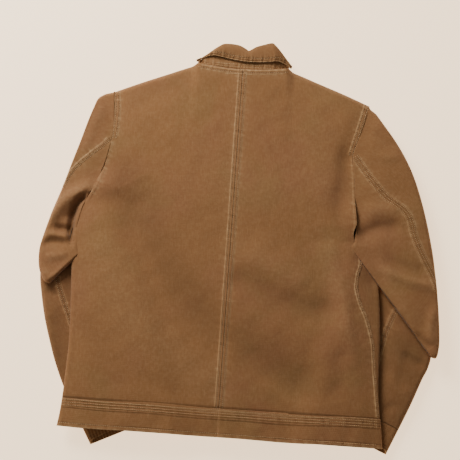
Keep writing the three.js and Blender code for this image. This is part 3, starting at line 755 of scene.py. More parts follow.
def columns_between(first: np.ndarray, last: np.ndarray, fine: float, coarse: float, rows: int) -> np.ndarray:
    """Places from first to last in each row, close together at both ends.

    Args:
        first: where each row starts.
        last: where each row ends.
        fine: the spacing at the ends, over 14 mm.
        coarse: the usual spacing elsewhere.
        rows: the number of rows.

    Returns:
        An array of rows and columns.
    """
    end = np.arange(0, 14, fine)
    middle = np.linspace(0, 1, max(int(np.max(np.abs(last - first)) / coarse), 2))
    way = np.sign(last - first)[:, None]
    first, last = first[:, None], last[:, None]
    inner_first, inner_last = first + way * 14, last - way * 14
    parts = [first + way * end, mix(inner_first, inner_last, middle[None, :]), last - way * end[::-1]]
    return np.concatenate([np.broadcast_to(p, (rows, p.shape[1])) for p in parts], axis=1)


# The folds that the back lies in. Light comes from the upper left, so a valley is dark on its upper left side.
BACK_FOLDS = (
    Crease(((-185, 420), (-127, 323), (-68, 236), (-20, 181), (40, 142), (120, 103), (175, 84)), -6.5, 34, 30, 60),
    Crease(((-230, 330), (-190, 240), (-130, 170), (-60, 110), (10, 80)), 3.0, 36, 40, 60),
    Crease(((0, 272), (60, 250), (96, 230), (159, 223), (200, 232)), -4.5, 20, 26, 40),
    Crease(((20, 320), (80, 286), (140, 262)), 2.5, 26, 22, 40),
    Crease(((165, 345), (177, 298), (191, 259), (206, 197), (214, 150)), 4.2, 15, 20, 40),
    Crease(((196, 520), (186, 450), (184, 390), (196, 350)), -3.2, 16, 14, 40),
    Crease(((-205, 560), (-150, 590), (-90, 610)), -2.4, 26, 22, 40),
    Crease(((-200, 470), (-176, 400), (-168, 330)), -1.8, 20, 24, 40),
    Crease(((120, 560), (150, 480), (150, 400)), 2.0, 34, 30, 60),
    Crease(((-240, 180), (-200, 120), (-180, 60)), -1.8, 24, 20, 40),
    Crease(((205, 190), (190, 120), (196, 70)), -2.6, 20, 24, 40),
    Crease(((228, 338), (246, 306), (256, 262)), -6.0, 17, 26, 30),
    Crease(((-60, 470), (20, 430), (110, 420)), 1.2, 40, 34, 60),
    Crease(((60, 96), (110, 70), (150, 56)), 1.4, 14, 12, 26),
    Crease(((-140, 96), (-100, 76), (-60, 66)), -1.2, 14, 12, 26),
)

CENTRE_SEAM = Seam(((0, 47), (0, 640)), rows=(-5.0, 0.0, 5.0), strip=(-7.5, 7.0), rise=0.9, seed=3)


def side_seam_line() -> Line:
    """Where the right side seam runs, from the underarm down to the band."""
    base = BODY.band
    up = (np.arange(318, 47, -9.0) - base) / (BODY.shoulder[Side.RIGHT][1] - base)
    start = BODY.panel_start(Side.RIGHT, up, base, False)
    return [(x, y) for x, y, _ in BODY.surface(Side.RIGHT, start, up, 0.0, base, None)[0]]


SIDE_SEAM = Seam(side_seam_line(), rows=(2.6,), strip=(0.0, 5.6), rise=0.6, seed=5)
# Each armhole has two rows of stitches down to where it turns under, and none below that.
ARMHOLE = {
    Side.LEFT: Seam(
        ((-228, 588), (-223, 560), (-222, 530), (-223, 500)), rows=(-9.0, -3.4), strip=(-11.0, -0.6), rise=0.9, seed=7
    ),
    Side.RIGHT: Seam(
        ((231, 593), (223, 563), (214, 529), (205, 496)), rows=(3.4, 9.0), strip=(0.6, 11.0), rise=0.9, seed=8
    ),
}
LOWER_ARMHOLE = {
    Side.LEFT: Seam(
        ((-223, 500), (-227, 476), (-232, 449), (-240, 415), (-251, 394)), (), strip=(-5.5, -1.0), rise=0.5, rub=0.3,
        seed=9,
    ),
    Side.RIGHT: Seam(
        ((205, 496), (209, 453), (211, 417), (215, 373), (214, 352)), (), strip=(1.0, 5.5), rise=0.5, rub=0.3, seed=10
    ),
}
NECK_SEAM = Seam(
    ((-78, 645), (-40, 640.5), (0, 638.5), (40, 640.5), (78, 645)), rows=(5.0,), strip=(0.4, 7.0), rise=0.7, seed=11
)
BACK_SEAMS = (CENTRE_SEAM, SIDE_SEAM, *ARMHOLE.values(), *LOWER_ARMHOLE.values(), NECK_SEAM)


def back_relief(x: np.ndarray, y: np.ndarray) -> np.ndarray:
    """Height, and wear with painted shade and light, of the back's folds, seams and small unevenness."""
    made = work_into(x, y, BACK_FOLDS, BACK_SEAMS)
    made[0] += ripples(x, y, 150, 0.9, 21) + ripples(x, y, 60, 0.28, 22) + ripples(x, y, 24, 0.07, 23)
    made[0] -= 0.5 * bell(y - BODY.band, 6) + 1.3 * (1 - eased(y, BODY.band - 1, BODY.band + 1.6))
    # Painted shadow: a thin darker line on the back just above the band's raised top edge.
    made[1] -= 0.5 * bell(y - BODY.band - 1.5, 1.6)
    return made


def side_relief(x: np.ndarray, y: np.ndarray) -> np.ndarray:
    """Height, and wear with painted shade and light, of the front's cloth, which comes round the side fold as far as
    the side seam.
    """
    made = work_into(x, y, BACK_FOLDS, ())
    made[0] += ripples(x, y, 150, 0.9, 21) + ripples(x, y, 60, 0.28, 22)
    return made


def quiet_relief(x: np.ndarray, y: np.ndarray) -> np.ndarray:
    """Height and wear of cloth that lies unseen: its folds are shallow."""
    return np.stack([ripples(x, y, 120, 0.35, 31), np.zeros(np.shape(x))])


@dataclass
class Pieces:
    """Makes pieces, and keeps each one by its name."""

    made: dict[str, bpy.types.Object] = field(default_factory=dict)

    def keep(self, piece: bpy.types.Object, finish: Finish, body: str | None, node: str | None = None) -> None:
        """Keeps a piece whose faces have their material, and logs its name and number of faces.

        Args:
            piece: the piece.
            finish: what it is made of; it is not used.
            body: the moving body that it rides on, or None if it rides on none.
            node: the CAD node that it stands for.
        """
        finish.slot
        if node:
            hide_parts(node)
        if body:
            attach(piece, body)
        self.made[piece.name] = piece
        LOG.info("%s: %d faces", piece.name, len(piece.data.polygons))

    def cloth(
        self,
        node: str | None,
        sheet: Sheet,
        thick: float,
        finish: Finish,
        body: str | None = "jacket",
        name: str | None = None,
        outward: Vector = UP,
        held: str = "laid",
        closed: bool = False,
    ) -> None:
        """Args:
            node: the CAD node that it stands for.
            sheet: its points.
            thick: its thickness in millimetres.
            finish: what it is made of.
            body: the moving body that it rides on, or None if it rides on none.
            name: its name, where that isn't the node's with "_cloth" after it.
            outward: the way its outer face points.
            held: how it is held; it is not used.
            closed: whether its last column joins its first.
        """
        piece = sheet.build(name or f"{node}_cloth", thick, outward, closed)
        dress(piece, finish)
        self.keep(piece, finish, body, node)
        width, length, area = sheet.cut_size()
        area = min(max(area, LEAST_FILLED * width * length), width * length)
        LOG.info("  cut %.0f x %.0f mm, %.4f m2", width * 1000, length * 1000, area)


# ---- Body panels -----------------------------------------------------------------------------------------------


@dataclass(frozen=True)
class BodyPanels:
    """The back and front panels, their facings and linings, and the pockets."""

    duck: float = 1.2  # thickness
    lining: float = 0.6
    pocketing: float = 0.5
    facing_wide: float = 50
    facing_in: float = 2.8  # each layer's depth below the outside of the cloth
    front_lining_in: float = 4.4
    back_lining_in: float = 5.2
    bag_in: float = 1.9
    tuck: float = 2.6  # how far the back's bottom edge is tucked under the band
    low: float = BODY.band + 0.4  # where the other layers start

    def rows(self, count: int, dense_top: bool) -> np.ndarray:
        """Shares of the height, closer together towards the shoulder."""
        low = np.linspace(0, 0.955, count)
        return np.concatenate([low, np.linspace(0.955, 1, 22 if dense_top else 8)[1:]])

    def back(self, pieces: Pieces) -> None:
        """The two back panels, joined down the middle by a triple-stitched seam."""
        base = BODY.band - self.tuck
        up = self.rows(225, True)
        for side in Side:
            start = BODY.panel_start(side, up, base, False)
            end = BODY.across_at(side, up, 0.03, base)
            across = columns_between(end, start, 0.9, 2.7, len(up))
            points, wear_and_shade = BODY.surface(side, across, up[:, None], 0.0, base, back_relief)
            pieces.cloth(f"back_panel_{side.value}", Sheet(points, wear_and_shade), self.duck, Finish.DUCK)

    def front_layer(self, side: Side, x_from: float, x_to: float | None, inset: float, top: float) -> Sheet:
        """A plain layer of the front.

        Args:
            side: which side.
            x_from: how far from the centre it starts.
            x_to: how far from the centre it ends, or None for the side seam and the armhole.
            inset: how deep it lies below the outside of the cloth.
            top: the share of the height that it reaches.

        Returns:
            The layer.
        """
        up = self.rows(46, False) * top
        first = -BODY.across_at(side, up, x_from, self.low)
        if x_to is None:
            last = BODY.panel_start(side, up, self.low, True)
        else:
            last = -BODY.across_at(side, up, x_to, self.low)
        across = mix(first[:, None], last[:, None], np.sin(np.linspace(0, 1, 96)[None, :] * math.pi / 2))
        points, wear_and_shade = BODY.surface(side, across, up[:, None], inset, self.low, side_relief)
        return Sheet(points, wear_and_shade)

    def fronts(self, pieces: Pieces) -> None:
        """The front panels lie on the floor, with their facings, linings and pockets inside them."""
        edge, seam = BODY.zip_edge, BODY.zip_edge + self.facing_wide
        for side in Side:
            front = self.front_layer(side, edge, None, 0.0, 1.0)
            facing = self.front_layer(side, edge, seam, self.facing_in, 0.96)
            lining = self.front_layer(side, seam + 2, None, self.front_lining_in, 0.97)
            s = side.value
            pieces.cloth(f"front_panel_{s}", front, self.duck, Finish.DUCK, outward=DOWN)
            pieces.cloth(f"front_facing_{s}", facing, self.duck, Finish.FACING, outward=DOWN)
            pieces.cloth(f"front_lining_{s}", lining, self.lining, Finish.LINING, outward=DOWN)
            self.pocket(pieces, side)
        self.back_lining(pieces)

    def back_lining(self, pieces: Pieces) -> None:
        """The back's lining, in one piece across both sides."""
        up = self.rows(46, False) * 0.97
        halves = []
        for side in Side:
            first = BODY.across_at(side, up, 0.0, self.low)
            last = BODY.panel_start(side, up, self.low, False)
            across = mix(first[:, None], last[:, None], np.linspace(0, 1, 48)[None, :])
            depth = self.back_lining_in
            halves.append(BODY.surface(side, across, up[:, None], depth, self.low, self.lining_relief)[0])
        joined = np.concatenate([halves[0][:, ::-1], halves[1][:, 1:]], axis=1)
        pieces.cloth("back_lining", Sheet(joined), self.lining, Finish.LINING)

    @staticmethod
    def lining_relief(x: np.ndarray, y: np.ndarray) -> np.ndarray:
        """The lining hangs with the back, and follows its folds."""
        made = work_into(x, y, BACK_FOLDS, ())
        made[0] += ripples(x, y, 150, 0.9, 21) - 1.2
        return made

    def pocket(self, pieces: Pieces, side: Side) -> None:
        """A hand pocket: a bag inside the front, and a slanting welt over its mouth."""
        base = self.low

        def patch(xs: np.ndarray, ys: np.ndarray, inset: float) -> np.ndarray:
            """Points of the front at given places."""
            up = (ys - base) / (BODY.top_of(xs, side, True) - base)
            return BODY.surface(side, -BODY.across_at(side, up, xs, base), up, inset, base, quiet_relief)[0]

        u, v = np.meshgrid(np.linspace(0, 1, 22), np.linspace(0, 1, 46))
        bag = patch(mix(98.0, 174.0, u), mix(62.0, 236.0, v), self.bag_in)
        pieces.cloth(f"pocket_bag_{side.value}", Sheet(bag), self.pocketing, Finish.POCKET, outward=DOWN)
        welt = patch(mix(150.0, 108.0, v) + 16 * u, mix(84.0, 224.0, v), -0.5)
        welt[..., 2] = np.maximum(welt[..., 2], 0.05)  # it stays just off the floor
        pieces.cloth(f"pocket_welt_{side.value}", Sheet(welt), self.pocketing, Finish.DUCK, outward=DOWN)


@dataclass(frozen=True)
class Waistband:
    """The band round the hem: duck outside and a facing inside, sewn along the top with three rows."""

    rows_up: tuple[float, ...] = (44.5, 40.0, 35.5)  # the rows' heights up from the hem
    hem_row: float = 6.5
    duck: float = 1.4
    facing: float = 1.1
    facing_in: float = 3.0

    def relief(self, x: np.ndarray, y: np.ndarray) -> np.ndarray:
        """Three sunk rows and a folded edge along the top, a row by the hem, and puckers between."""
        made = np.zeros((2, *np.shape(x)))
        made[0] += work_into(x, y, BACK_FOLDS, ())[0]
        made[0] += ripples(x, y, 150, 0.9, 21) + ripples(x, y, 46, 0.42, 41)
        rng = np.random.default_rng(42)
        wave = sum(np.sin(2 * math.pi * x / w + rng.uniform(0, 6.3) + 0.1 * y) for w in (6.1, 9.3, 14.0, 23.0)) / 2
        top = bell(y - 40, 9)
        hem = bell(y, 8)
        made[0] += 0.2 * wave * (top + 0.8 * hem) + 1.1 * eased(y, 31, 33.5)
        made[1] += (0.14 * wave + 0.12) * (top + hem) + 0.4 * bell(y - 46.6, 1.1) + 0.55 * bell(y, 1.6)
        for row in (*self.rows_up, self.hem_row):
            groove = bell(y - row, 0.9)
            made[0] -= 0.5 * groove
            made[1] -= 0.6 * groove
        return made

    def band(self, inset: float, low: float, high: float, step: float, relief: Relief) -> Sheet:
        """The whole band in one piece, through both fronts and the back.

        Args:
            inset: how deep it lies below the outside of the body.
            low: height of its bottom edge.
            high: height of its top edge.
            step: the spacing of its rows.
            relief: gives height, and wear with painted shade, from place.

        Returns:
            The band.
        """
        y = np.arange(low, high + 0.01, step)
        parts, wears = [], []
        for side in Side:
            for front in (True, False):
                up = y / BODY.shoulder[side][1]
                end = BODY.across_at(side, up, BODY.zip_edge if front else 0.0, 0.0)
                across = end[:, None] * np.linspace(0, 1, 112)[None, :] ** 1.25
                way = -1 if front else 1
                points, wear_and_shade = BODY.surface(side, way * (across + 0.001), up[:, None], inset, 0.0, relief)
                points[..., 1] = y[:, None]
                keep = slice(None, None, -1) if front is (side is Side.LEFT) else slice(None)
                parts.append(points[:, keep])
                wears.append(wear_and_shade[:, keep])
        # left front, left back, right back, right front
        order = [parts[0], parts[1][:, 1:], parts[3][:, ::-1][:, 1:], parts[2][:, ::-1][:, 1:]]
        order_wear = [wears[0], wears[1][:, 1:], wears[3][:, ::-1][:, 1:], wears[2][:, ::-1][:, 1:]]
        return Sheet(np.concatenate(order, axis=1), np.concatenate(order_wear, axis=1))

    def build(self, pieces: Pieces) -> None:
        """The band and its facing."""
        sheet = self.band(0.0, 0.0, BODY.band + 1.2, 0.9, self.relief)
        sheet.points[..., 1] += 1.2 * ripples(sheet.points[..., 0], sheet.points[..., 1], 210, 0.8, 43)
        pieces.cloth("waistband", sheet, self.duck, Finish.DUCK)
        facing = self.band(self.facing_in, 0.8, BODY.band - 1, 3.0, BodyPanels.lining_relief)
        pieces.cloth("waistband_facing", facing, self.facing, Finish.FACING)


# ---- Sleeves ---------------------------------------------------------------------------------------------------


@dataclass(frozen=True)
class SleeveShape:
    """One sleeve: an upper length that ends in the fold at the elbow, and a forearm that goes on under it."""

    side: Side
    outer: Line  # the silhouette, from the shoulder to the elbow
    inner: Line  # the underarm, from the armhole to the inner end of the elbow's fold
    fore_outer: Line  # from the elbow to the corner of the cuff
    fore_inner: Line
    rise: tuple[float, float]  # the upper length's underside, at the armhole and at the fold
    top: tuple[float, float]  # its top, at the armhole and at the fold
    upper_folds: tuple[Crease, ...]
    fore_folds: tuple[Crease, ...]
    upper_seams: tuple[Seam, ...]
    fore_seams: tuple[Seam, ...]
    bend: tuple[tuple[float, float], tuple[float, float]]  # places where the body's hold ends and the sleeve's starts
    cuff: float = 50
    fold_radius: float = 9  # how the upper length closes into the fold
    start_radius: float = 12  # and how the forearm starts inside it

    @property
    def body(self) -> str:
        """The moving body that it rides on."""
        return f"sleeve_{self.side.value}"


RIGHT_SLEEVE = SleeveShape(
    Side.RIGHT,
    outer=((231, 593), (255, 560), (283, 521), (305, 482), (321, 442), (336, 390), (347, 339), (354, 290), (359, 240),
           (362, 190), (361, 168), (357, 155), (348, 156)),
    inner=((212, 352), (208, 345), (204, 336)),
    fore_outer=((348, 196), (353, 160), (348, 137), (339, 118), (321, 74), (303, 34), (283, -9)),
    fore_inner=((176, 372), (196, 318), (214, 262), (210, 205), (190, 120), (164, 40)),
    rise=(2.0, 23.0),
    top=(30.0, 37.0),
    upper_folds=(
        Crease(((216, 348), (238, 365), (263, 373), (292, 374)), -6.0, 12, 14, 34),
        Crease(((222, 392), (250, 402), (290, 404)), 3.1, 14, 16, 34),
        Crease(((262, 300), (298, 285), (323, 279), (352, 274)), 3.9, 8, 10, 30),
        Crease(((262, 322), (300, 306), (340, 300)), -2.1, 10, 12, 30),
        Crease(((352, 240), (345, 205), (349, 175)), 3.4, 9, 9, 26),
        Crease(((318, 196), (334, 182), (352, 170)), -4.2, 6, 7, 20),
        Crease(((236, 545), (262, 528), (282, 520)), -1.7, 10, 10, 24),
        Crease(((240, 500), (262, 496), (286, 500)), 1.8, 10, 10, 24),
        Crease(((250, 330), (290, 250), (330, 205)), 2.1, 12, 12, 50),
    ),
    fore_folds=(
        Crease(((300, 160), (320, 150), (345, 140)), -3.0, 8, 9, 24),
        Crease(((276, 120), (300, 100), (322, 92)), 2.0, 10, 12, 24),
        Crease(((270, 60), (284, 70), (300, 72)), -1.8, 8, 9, 20),
        Crease(((286, 205), (306, 190), (322, 172)), 1.8, 10, 10, 26),
    ),
    upper_seams=(
        Seam(((206, 494), (219, 475), (236, 453), (261, 426), (279, 414), (297, 400), (306, 382), (311, 363),
              (320, 341), (332, 317), (346, 292), (354, 268)), rows=(-5.2, -1.2, 3.2), strip=(-7.5, 4.6), rise=0.9, seed=51),
    ),
    fore_seams=(
        Seam(((296, 246), (289, 232), (278, 206), (270, 180), (262, 149), (252, 110)), rows=(-2.2, 2.4),
             strip=(-4.5, 4.5), rise=0.8, seed=52),
    ),
    bend=((215, 345), (275, 250)),
)

LEFT_SLEEVE = SleeveShape(
    Side.LEFT,
    outer=((228, 589), (244, 581), (254, 572), (259, 556), (267, 528), (277, 491), (289, 449), (300, 408), (314, 360),
           (324, 318), (328, 292), (325, 262), (314, 240), (303, 236)),
    inner=((250, 394), (258, 372), (262, 345), (262, 312), (256, 292)),
    fore_outer=((327, 288), (325, 250), (320, 222), (310, 180), (297, 140), (282, 100), (262, 58), (236, 14),
                (211, -27)),
    fore_inner=((226, 338), (214, 300), (196, 262), (172, 214), (140, 140), (92, 30)),
    rise=(2.0, 19.0),
    top=(30.0, 31.0),
    upper_folds=(
        Crease(((-243, 414), (-262, 402), (-280, 390), (-298, 372), (-314, 342)), 6.2, 11, 13, 30),
        Crease(((-266, 372), (-282, 356), (-292, 346)), -3.5, 9, 10, 24),
        Crease(((-306, 333), (-290, 331), (-270, 328)), -6.5, 7, 8, 18),
        Crease(((-322, 318), (-300, 321), (-276, 317)), 3.0, 6, 7, 18),
        Crease(((-325, 300), (-303, 309), (-279, 305)), -4.1, 7, 7, 18),
        Crease(((-316, 280), (-298, 284), (-276, 288)), 3.0, 8, 9, 18),
        Crease(((-318, 262), (-306, 246), (-288, 252), (-270, 276)), 2.4, 8, 8, 20),
        Crease(((-256, 394), (-271, 378), (-277, 356), (-277, 330), (-273, 308)), -11.0, 6, 5, 16),
        Crease(((-242, 560), (-254, 520), (-268, 470)), 1.6, 9, 9, 30),
    ),
    fore_folds=(
        Crease(((-314, 214), (-304, 196), (-294, 176)), 2.2, 8, 9, 20),
        Crease(((-310, 228), (-300, 222), (-288, 216)), -2.6, 6, 6, 14),
        Crease(((-292, 150), (-280, 128), (-270, 100)), -1.6, 8, 9, 24),
    ),
    upper_seams=(
        Seam(((-224, 498), (-235, 484), (-247, 473), (-259, 461), (-272, 448), (-282, 435), (-290, 421), (-298, 404)),
             rows=(-1.6, 2.6), strip=(0.0, 5.0), rise=0.9, seed=61),
    ),
    fore_seams=(
        Seam(((-294, 252), (-290, 236), (-284, 221), (-279, 209), (-266, 181), (-254, 154), (-240, 120)),
             rows=(-2.2, 2.4), strip=(-4.5, 4.5), rise=0.8, seed=62),
    ),
    bend=((-251, 388), (-305, 296)),
)


def rows_close_to(place: float, before: int, after: int) -> np.ndarray:
    """Shares of the way along, with one spacing before a place and another after it."""
    return np.concatenate([np.linspace(0, place, before), np.linspace(place, 1, after)[1:]])


@dataclass(frozen=True)
class Sleeve:
    """Builds one sleeve's cloth."""

    shape: SleeveShape
    edge: float = 9  # how far in from each edge the cloth starts to turn over
    duck: float = 1.2  # thickness
    lining: float = 0.5
    cuff_duck: float = 2.2

    def section(
        self,
        first: np.ndarray,
        last: np.ndarray,
        low: np.ndarray,
        high: np.ndarray,
        inset: float,
        relief: Relief,
        squeeze: np.ndarray | None = None,
        count: tuple[int, int] = (120, 50),
        warp: Callable | None = None,
    ) -> Sheet:
        """A flattened tube from one row to the next.

        Args:
            first: the inner edge in each row, in plan, with distances from the centre as positive.
            last: the outer edge.
            low: the height of its underside in each row.
            high: the height of its top, for each row or each point.
            inset: how deep the layer lies inside its outer face.
            relief: gives height, and wear with painted shade, from place.
            squeeze: for each row, how open the tube is, from 0 to 1.
            count: the number of columns on the top and beneath.
            warp: moves the plan places, given them and the row's share.

        Returns:
            The tube, its last column next to its first.
        """
        sign = self.shape.side.sign
        rows = len(first)
        wide = np.linalg.norm(last - first, axis=1)[:, None]
        turns = np.linspace(0, 1, count[0])
        top = np.sin((turns - 0.5) * math.pi) / 2 + 0.5
        top = mix(turns, top, 0.55)
        under = np.linspace(1, 0, count[1] + 2)[1:-1]
        share = np.concatenate([top, under])[None, :] * np.ones((rows, 1))
        beneath = np.concatenate([np.zeros(count[0]), np.ones(count[1])])[None, :] > 0
        near = np.minimum(share, 1 - share) * wide
        turn = np.arccos(1 - np.clip(near / self.edge, 0, 1))
        kept = np.where(near < self.edge, inset + (self.edge - inset) * (1 - np.cos(turn)), near)
        at = np.where(share < 0.5, kept, wide - kept) / np.maximum(wide, 1)
        plan = first[:, None, :] + (last - first)[:, None, :] * at[..., None]
        if warp is not None:
            plan = warp(plan, at)
        x, y = sign * plan[..., 0], plan[..., 1]
        rise, wear_and_shade = relief(x, y)
        low = np.broadcast_to(low[:, None] if np.ndim(low) == 1 else low, x.shape)
        high = np.broadcast_to(high(np.abs(x), y) if callable(high) else high[:, None], x.shape)
        open_ = 1.0 if squeeze is None else squeeze[:, None]
        rise = np.maximum(rise, -0.55 * (high - low))
        middle = (low + high) / 2
        half = np.maximum((high - low) / 2 - inset, 0.2) * np.sin(turn) * open_
        z = middle + np.where(beneath, -half, half) + np.where(beneath, 0, rise * np.sin(turn) * open_)
        return Sheet(np.stack([x, y, z], axis=-1), np.where(beneath, 0, wear_and_shade))

    def relief(self, folds: Sequence[Crease], seams: Sequence[Seam], seed: int) -> Relief:
        """Gives the height, and the wear with painted shade and light, of some folds and seams."""

        def made(x: np.ndarray, y: np.ndarray) -> np.ndarray:
            """Height, and wear with painted shade and light, at each place."""
            both = work_into(x, y, folds, seams)
            both[0] += ripples(x, y, 90, 0.55, seed) + ripples(x, y, 32, 0.16, seed + 1)
            return both

        return made

    def upper(self, pieces: Pieces, lined: bool) -> None:
        """The upper length, from the armhole to the fold at the elbow."""
        shape = self.shape
        t = np.linspace(0.01, 0.93, 40) if lined else rows_close_to(0.94, 130, 14)
        outer = share_along(curve(shape.outer, 3), t)
        inner = share_along(curve(shape.inner, 3), t)
        if lined:
            inner = inner + 12 * (outer - inner) / np.linalg.norm(outer - inner, axis=1)[:, None]
        high_arm, high_fold = shape.top

        def to_armhole(plan: np.ndarray, at: np.ndarray) -> np.ndarray:
            """Bends the first rows to the armhole's curve, and leaves both edges as they are."""
            line = BODY.edge(shape.side, plan[..., 1]) - 1.6
            share = (1 - np.clip(t / 0.16, 0, 1)) ** 2
            moved = plan.copy()
            middle = np.clip(5 * at * (1 - at), 0, 1)
            moved[..., 0] = mix(plan[..., 0], line, share[:, None] * mix(1, middle, eased(t, 0, 0.04)[:, None]))
            return moved

        def height(x: np.ndarray, y: np.ndarray) -> np.ndarray:
            """The top's height: it meets the body's at the armhole."""
            shoulder = BODY.sink * 0.9 * np.exp(-np.maximum(BODY.shoulder[shape.side][1] + 5 - y, 0) / 38)
            out = np.maximum(x - BODY.edge(shape.side, y), 0)
            low_seam = 2.6 * bell(out, 20) * BODY.opened(shape.side, y)
            own = mix(high_arm, high_fold, t[:, None])
            return mix(BODY.thick + 1.0, own, eased(out, 0, 60)) - shoulder * (1 - eased(out, 0, 90)) - low_seam

        low = mix(shape.rise[0], shape.rise[1], eased(t, 0.5, 0.86))
        end = np.linalg.norm(outer[-1] - outer, axis=1)
        squeeze = rounded(end, shape.fold_radius)
        s = shape.side.value
        if lined:
            relief = self.relief(shape.upper_folds, (), 70)
            tube = self.section(inner, outer, low, height, 3.2, relief, None, (60, 20), to_armhole)
            self.length(pieces, None, f"sleeve_lining_{s}_upper", tube, Finish.LINING)
        else:
            relief = self.relief(shape.upper_folds, shape.upper_seams, 70)
            tube = self.section(inner, outer, low, height, 0.0, relief, squeeze, (125, 44), to_armhole)
            self.length(pieces, f"sleeve_outer_{s}", f"sleeve_{s}_upper_arm", tube, Finish.DUCK)

    def length(self, pieces: Pieces, node: str | None, name: str, tube: Sheet, finish: Finish) -> None:
        """Makes one tube of the sleeve, and bakes its transform into its points."""
        thick = self.lining if finish is Finish.LINING else self.duck
        pieces.cloth(node, tube, thick, finish, None, name, closed=True)
        self.bend(pieces.made[name])

    def fore(self, pieces: Pieces, lined: bool) -> None:
        """The forearm, from under the elbow's fold to the cuff."""
        shape = self.shape
        outer_line, inner_line = curve(shape.fore_outer, 3), curve(shape.fore_inner, 3)
        t = np.linspace(0.06, 1, 34) if lined else rows_close_to(0.04, 12, 140)
        outer = share_along(outer_line, t * (1 - (shape.cuff - 3) / (3 * len(outer_line))))
        inner = share_along(inner_line, t * (1 - (shape.cuff - 3) / (3 * len(inner_line))))

        def height(x: np.ndarray, y: np.ndarray) -> np.ndarray:
            """Flat under the body, and a little fuller beside it."""
            return BODY.forearm + 3.5 * eased(x, 266, 296) * eased(y, 20, 90)

        low = 1.3 * (1 - eased(inner[:, 1], 70, 160)) + 0.2
        s = shape.side.value
        relief = self.relief(shape.fore_folds, shape.fore_seams, 80)

        def kept_under(x: np.ndarray, y: np.ndarray) -> np.ndarray:
            """The folds, held down where the body lies on them, with painted shade over the forearm."""
            both = relief(x, y)
            both[0] *= eased(np.abs(x), 250, 276) * 0.9 + 0.1
            # Painted shade: the whole forearm is coloured darker, for the shadow of the body over it.
            both[1] -= 0.2
            return both

        if lined:
            hung = self.relief(shape.fore_folds, (), 80)
            tube = self.section(inner, outer, low, height, 3.0, hung, None, (60, 20))
            self.length(pieces, f"sleeve_lining_{s}", f"sleeve_lining_{s}_fore", tube, Finish.LINING)
        else:
            start = np.linalg.norm(outer - outer[0], axis=1)
            squeeze = rounded(start, shape.start_radius)
            tube = self.section(inner, outer, low, height, 0.0, kept_under, squeeze, (110, 44))
            self.length(pieces, f"sleeve_inner_{s}", f"sleeve_{s}_forearm", tube, Finish.DUCK)

    def cuff(self, pieces: Pieces) -> None:
        """The cuff: its top lies a little further back than its underside, so the way in shows."""
        shape = self.shape
        t = np.linspace(0, 1, 44)
        lines = []
        for line in (curve(shape.fore_inner, 3), curve(shape.fore_outer, 3)):
            start = 1 - shape.cuff / (3 * len(line))
            lines.append(share_along(line, mix(start, 1.0, t)))
        inner, outer = lines
        way = outer[-1] - inner[-1]
        way /= np.linalg.norm(way)
        back = np.array([way[1], -way[0]])
        back = back if back @ (outer[0] - outer[-1]) > 0 else -back
        length = shape.cuff

        def relief(x: np.ndarray, y: np.ndarray) -> np.ndarray:
            """Two sunk rows by the edge and one by the seam."""
            corner = outer[-1]
            off = (np.abs(x) - corner[0]) * back[0] + (y - corner[1]) * back[1]
            both = np.zeros((2, *np.shape(x)))
            for row in (4.0, 8.5, length - 4.0):
                groove = bell(off - row, 0.9)
                both[0] -= 0.4 * groove
                both[1] -= 0.5 * groove
            both[0] += 0.8 * (1 - eased(off, length - 2.2, length - 0.6)) + ripples(x, y, 12, 0.1, 90)
            both[1] += 0.7 * bell(off, 1.4)
            return both

        count = 90  # columns on the top
        low, high = np.full(len(t), 1.3), np.full(len(t), 14.6)
        tube = self.section(inner, outer, low, high, 0.0, relief, None, (count, 60))
        # Only the left cuff shows its ribbed facing.
        finish = Finish.CUFF if shape.side is Side.LEFT else Finish.DUCK
        pull = 9.0 * t[:, None] ** 2 * np.sin(np.linspace(0, math.pi, count))[None, :] ** 0.35
        tube.points[:, :count, 0] += shape.side.sign * back[0] * pull
        tube.points[:, :count, 1] += back[1] * pull
        pieces.cloth(f"cuff_{shape.side.value}", tube, self.cuff_duck, finish, shape.body, closed=True)

    def build(self, pieces: Pieces) -> None:
        """All of the sleeve: the duck's two lengths, the lining's two, and the cuff."""
        for lined in (False, True):
            self.upper(pieces, lined)
            self.fore(pieces, lined)
        self.cuff(pieces)

    def bend(self, piece: bpy.types.Object) -> None:
        """Bakes a piece's transform into its points: it is not bent between the body and the sleeve."""
        start, end = (tuple(LAYOUT.at(*place, 0)) for place in self.shape.bend)
        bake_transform(piece)


# ---- Collar ----------------------------------------------------------------------------------------------------


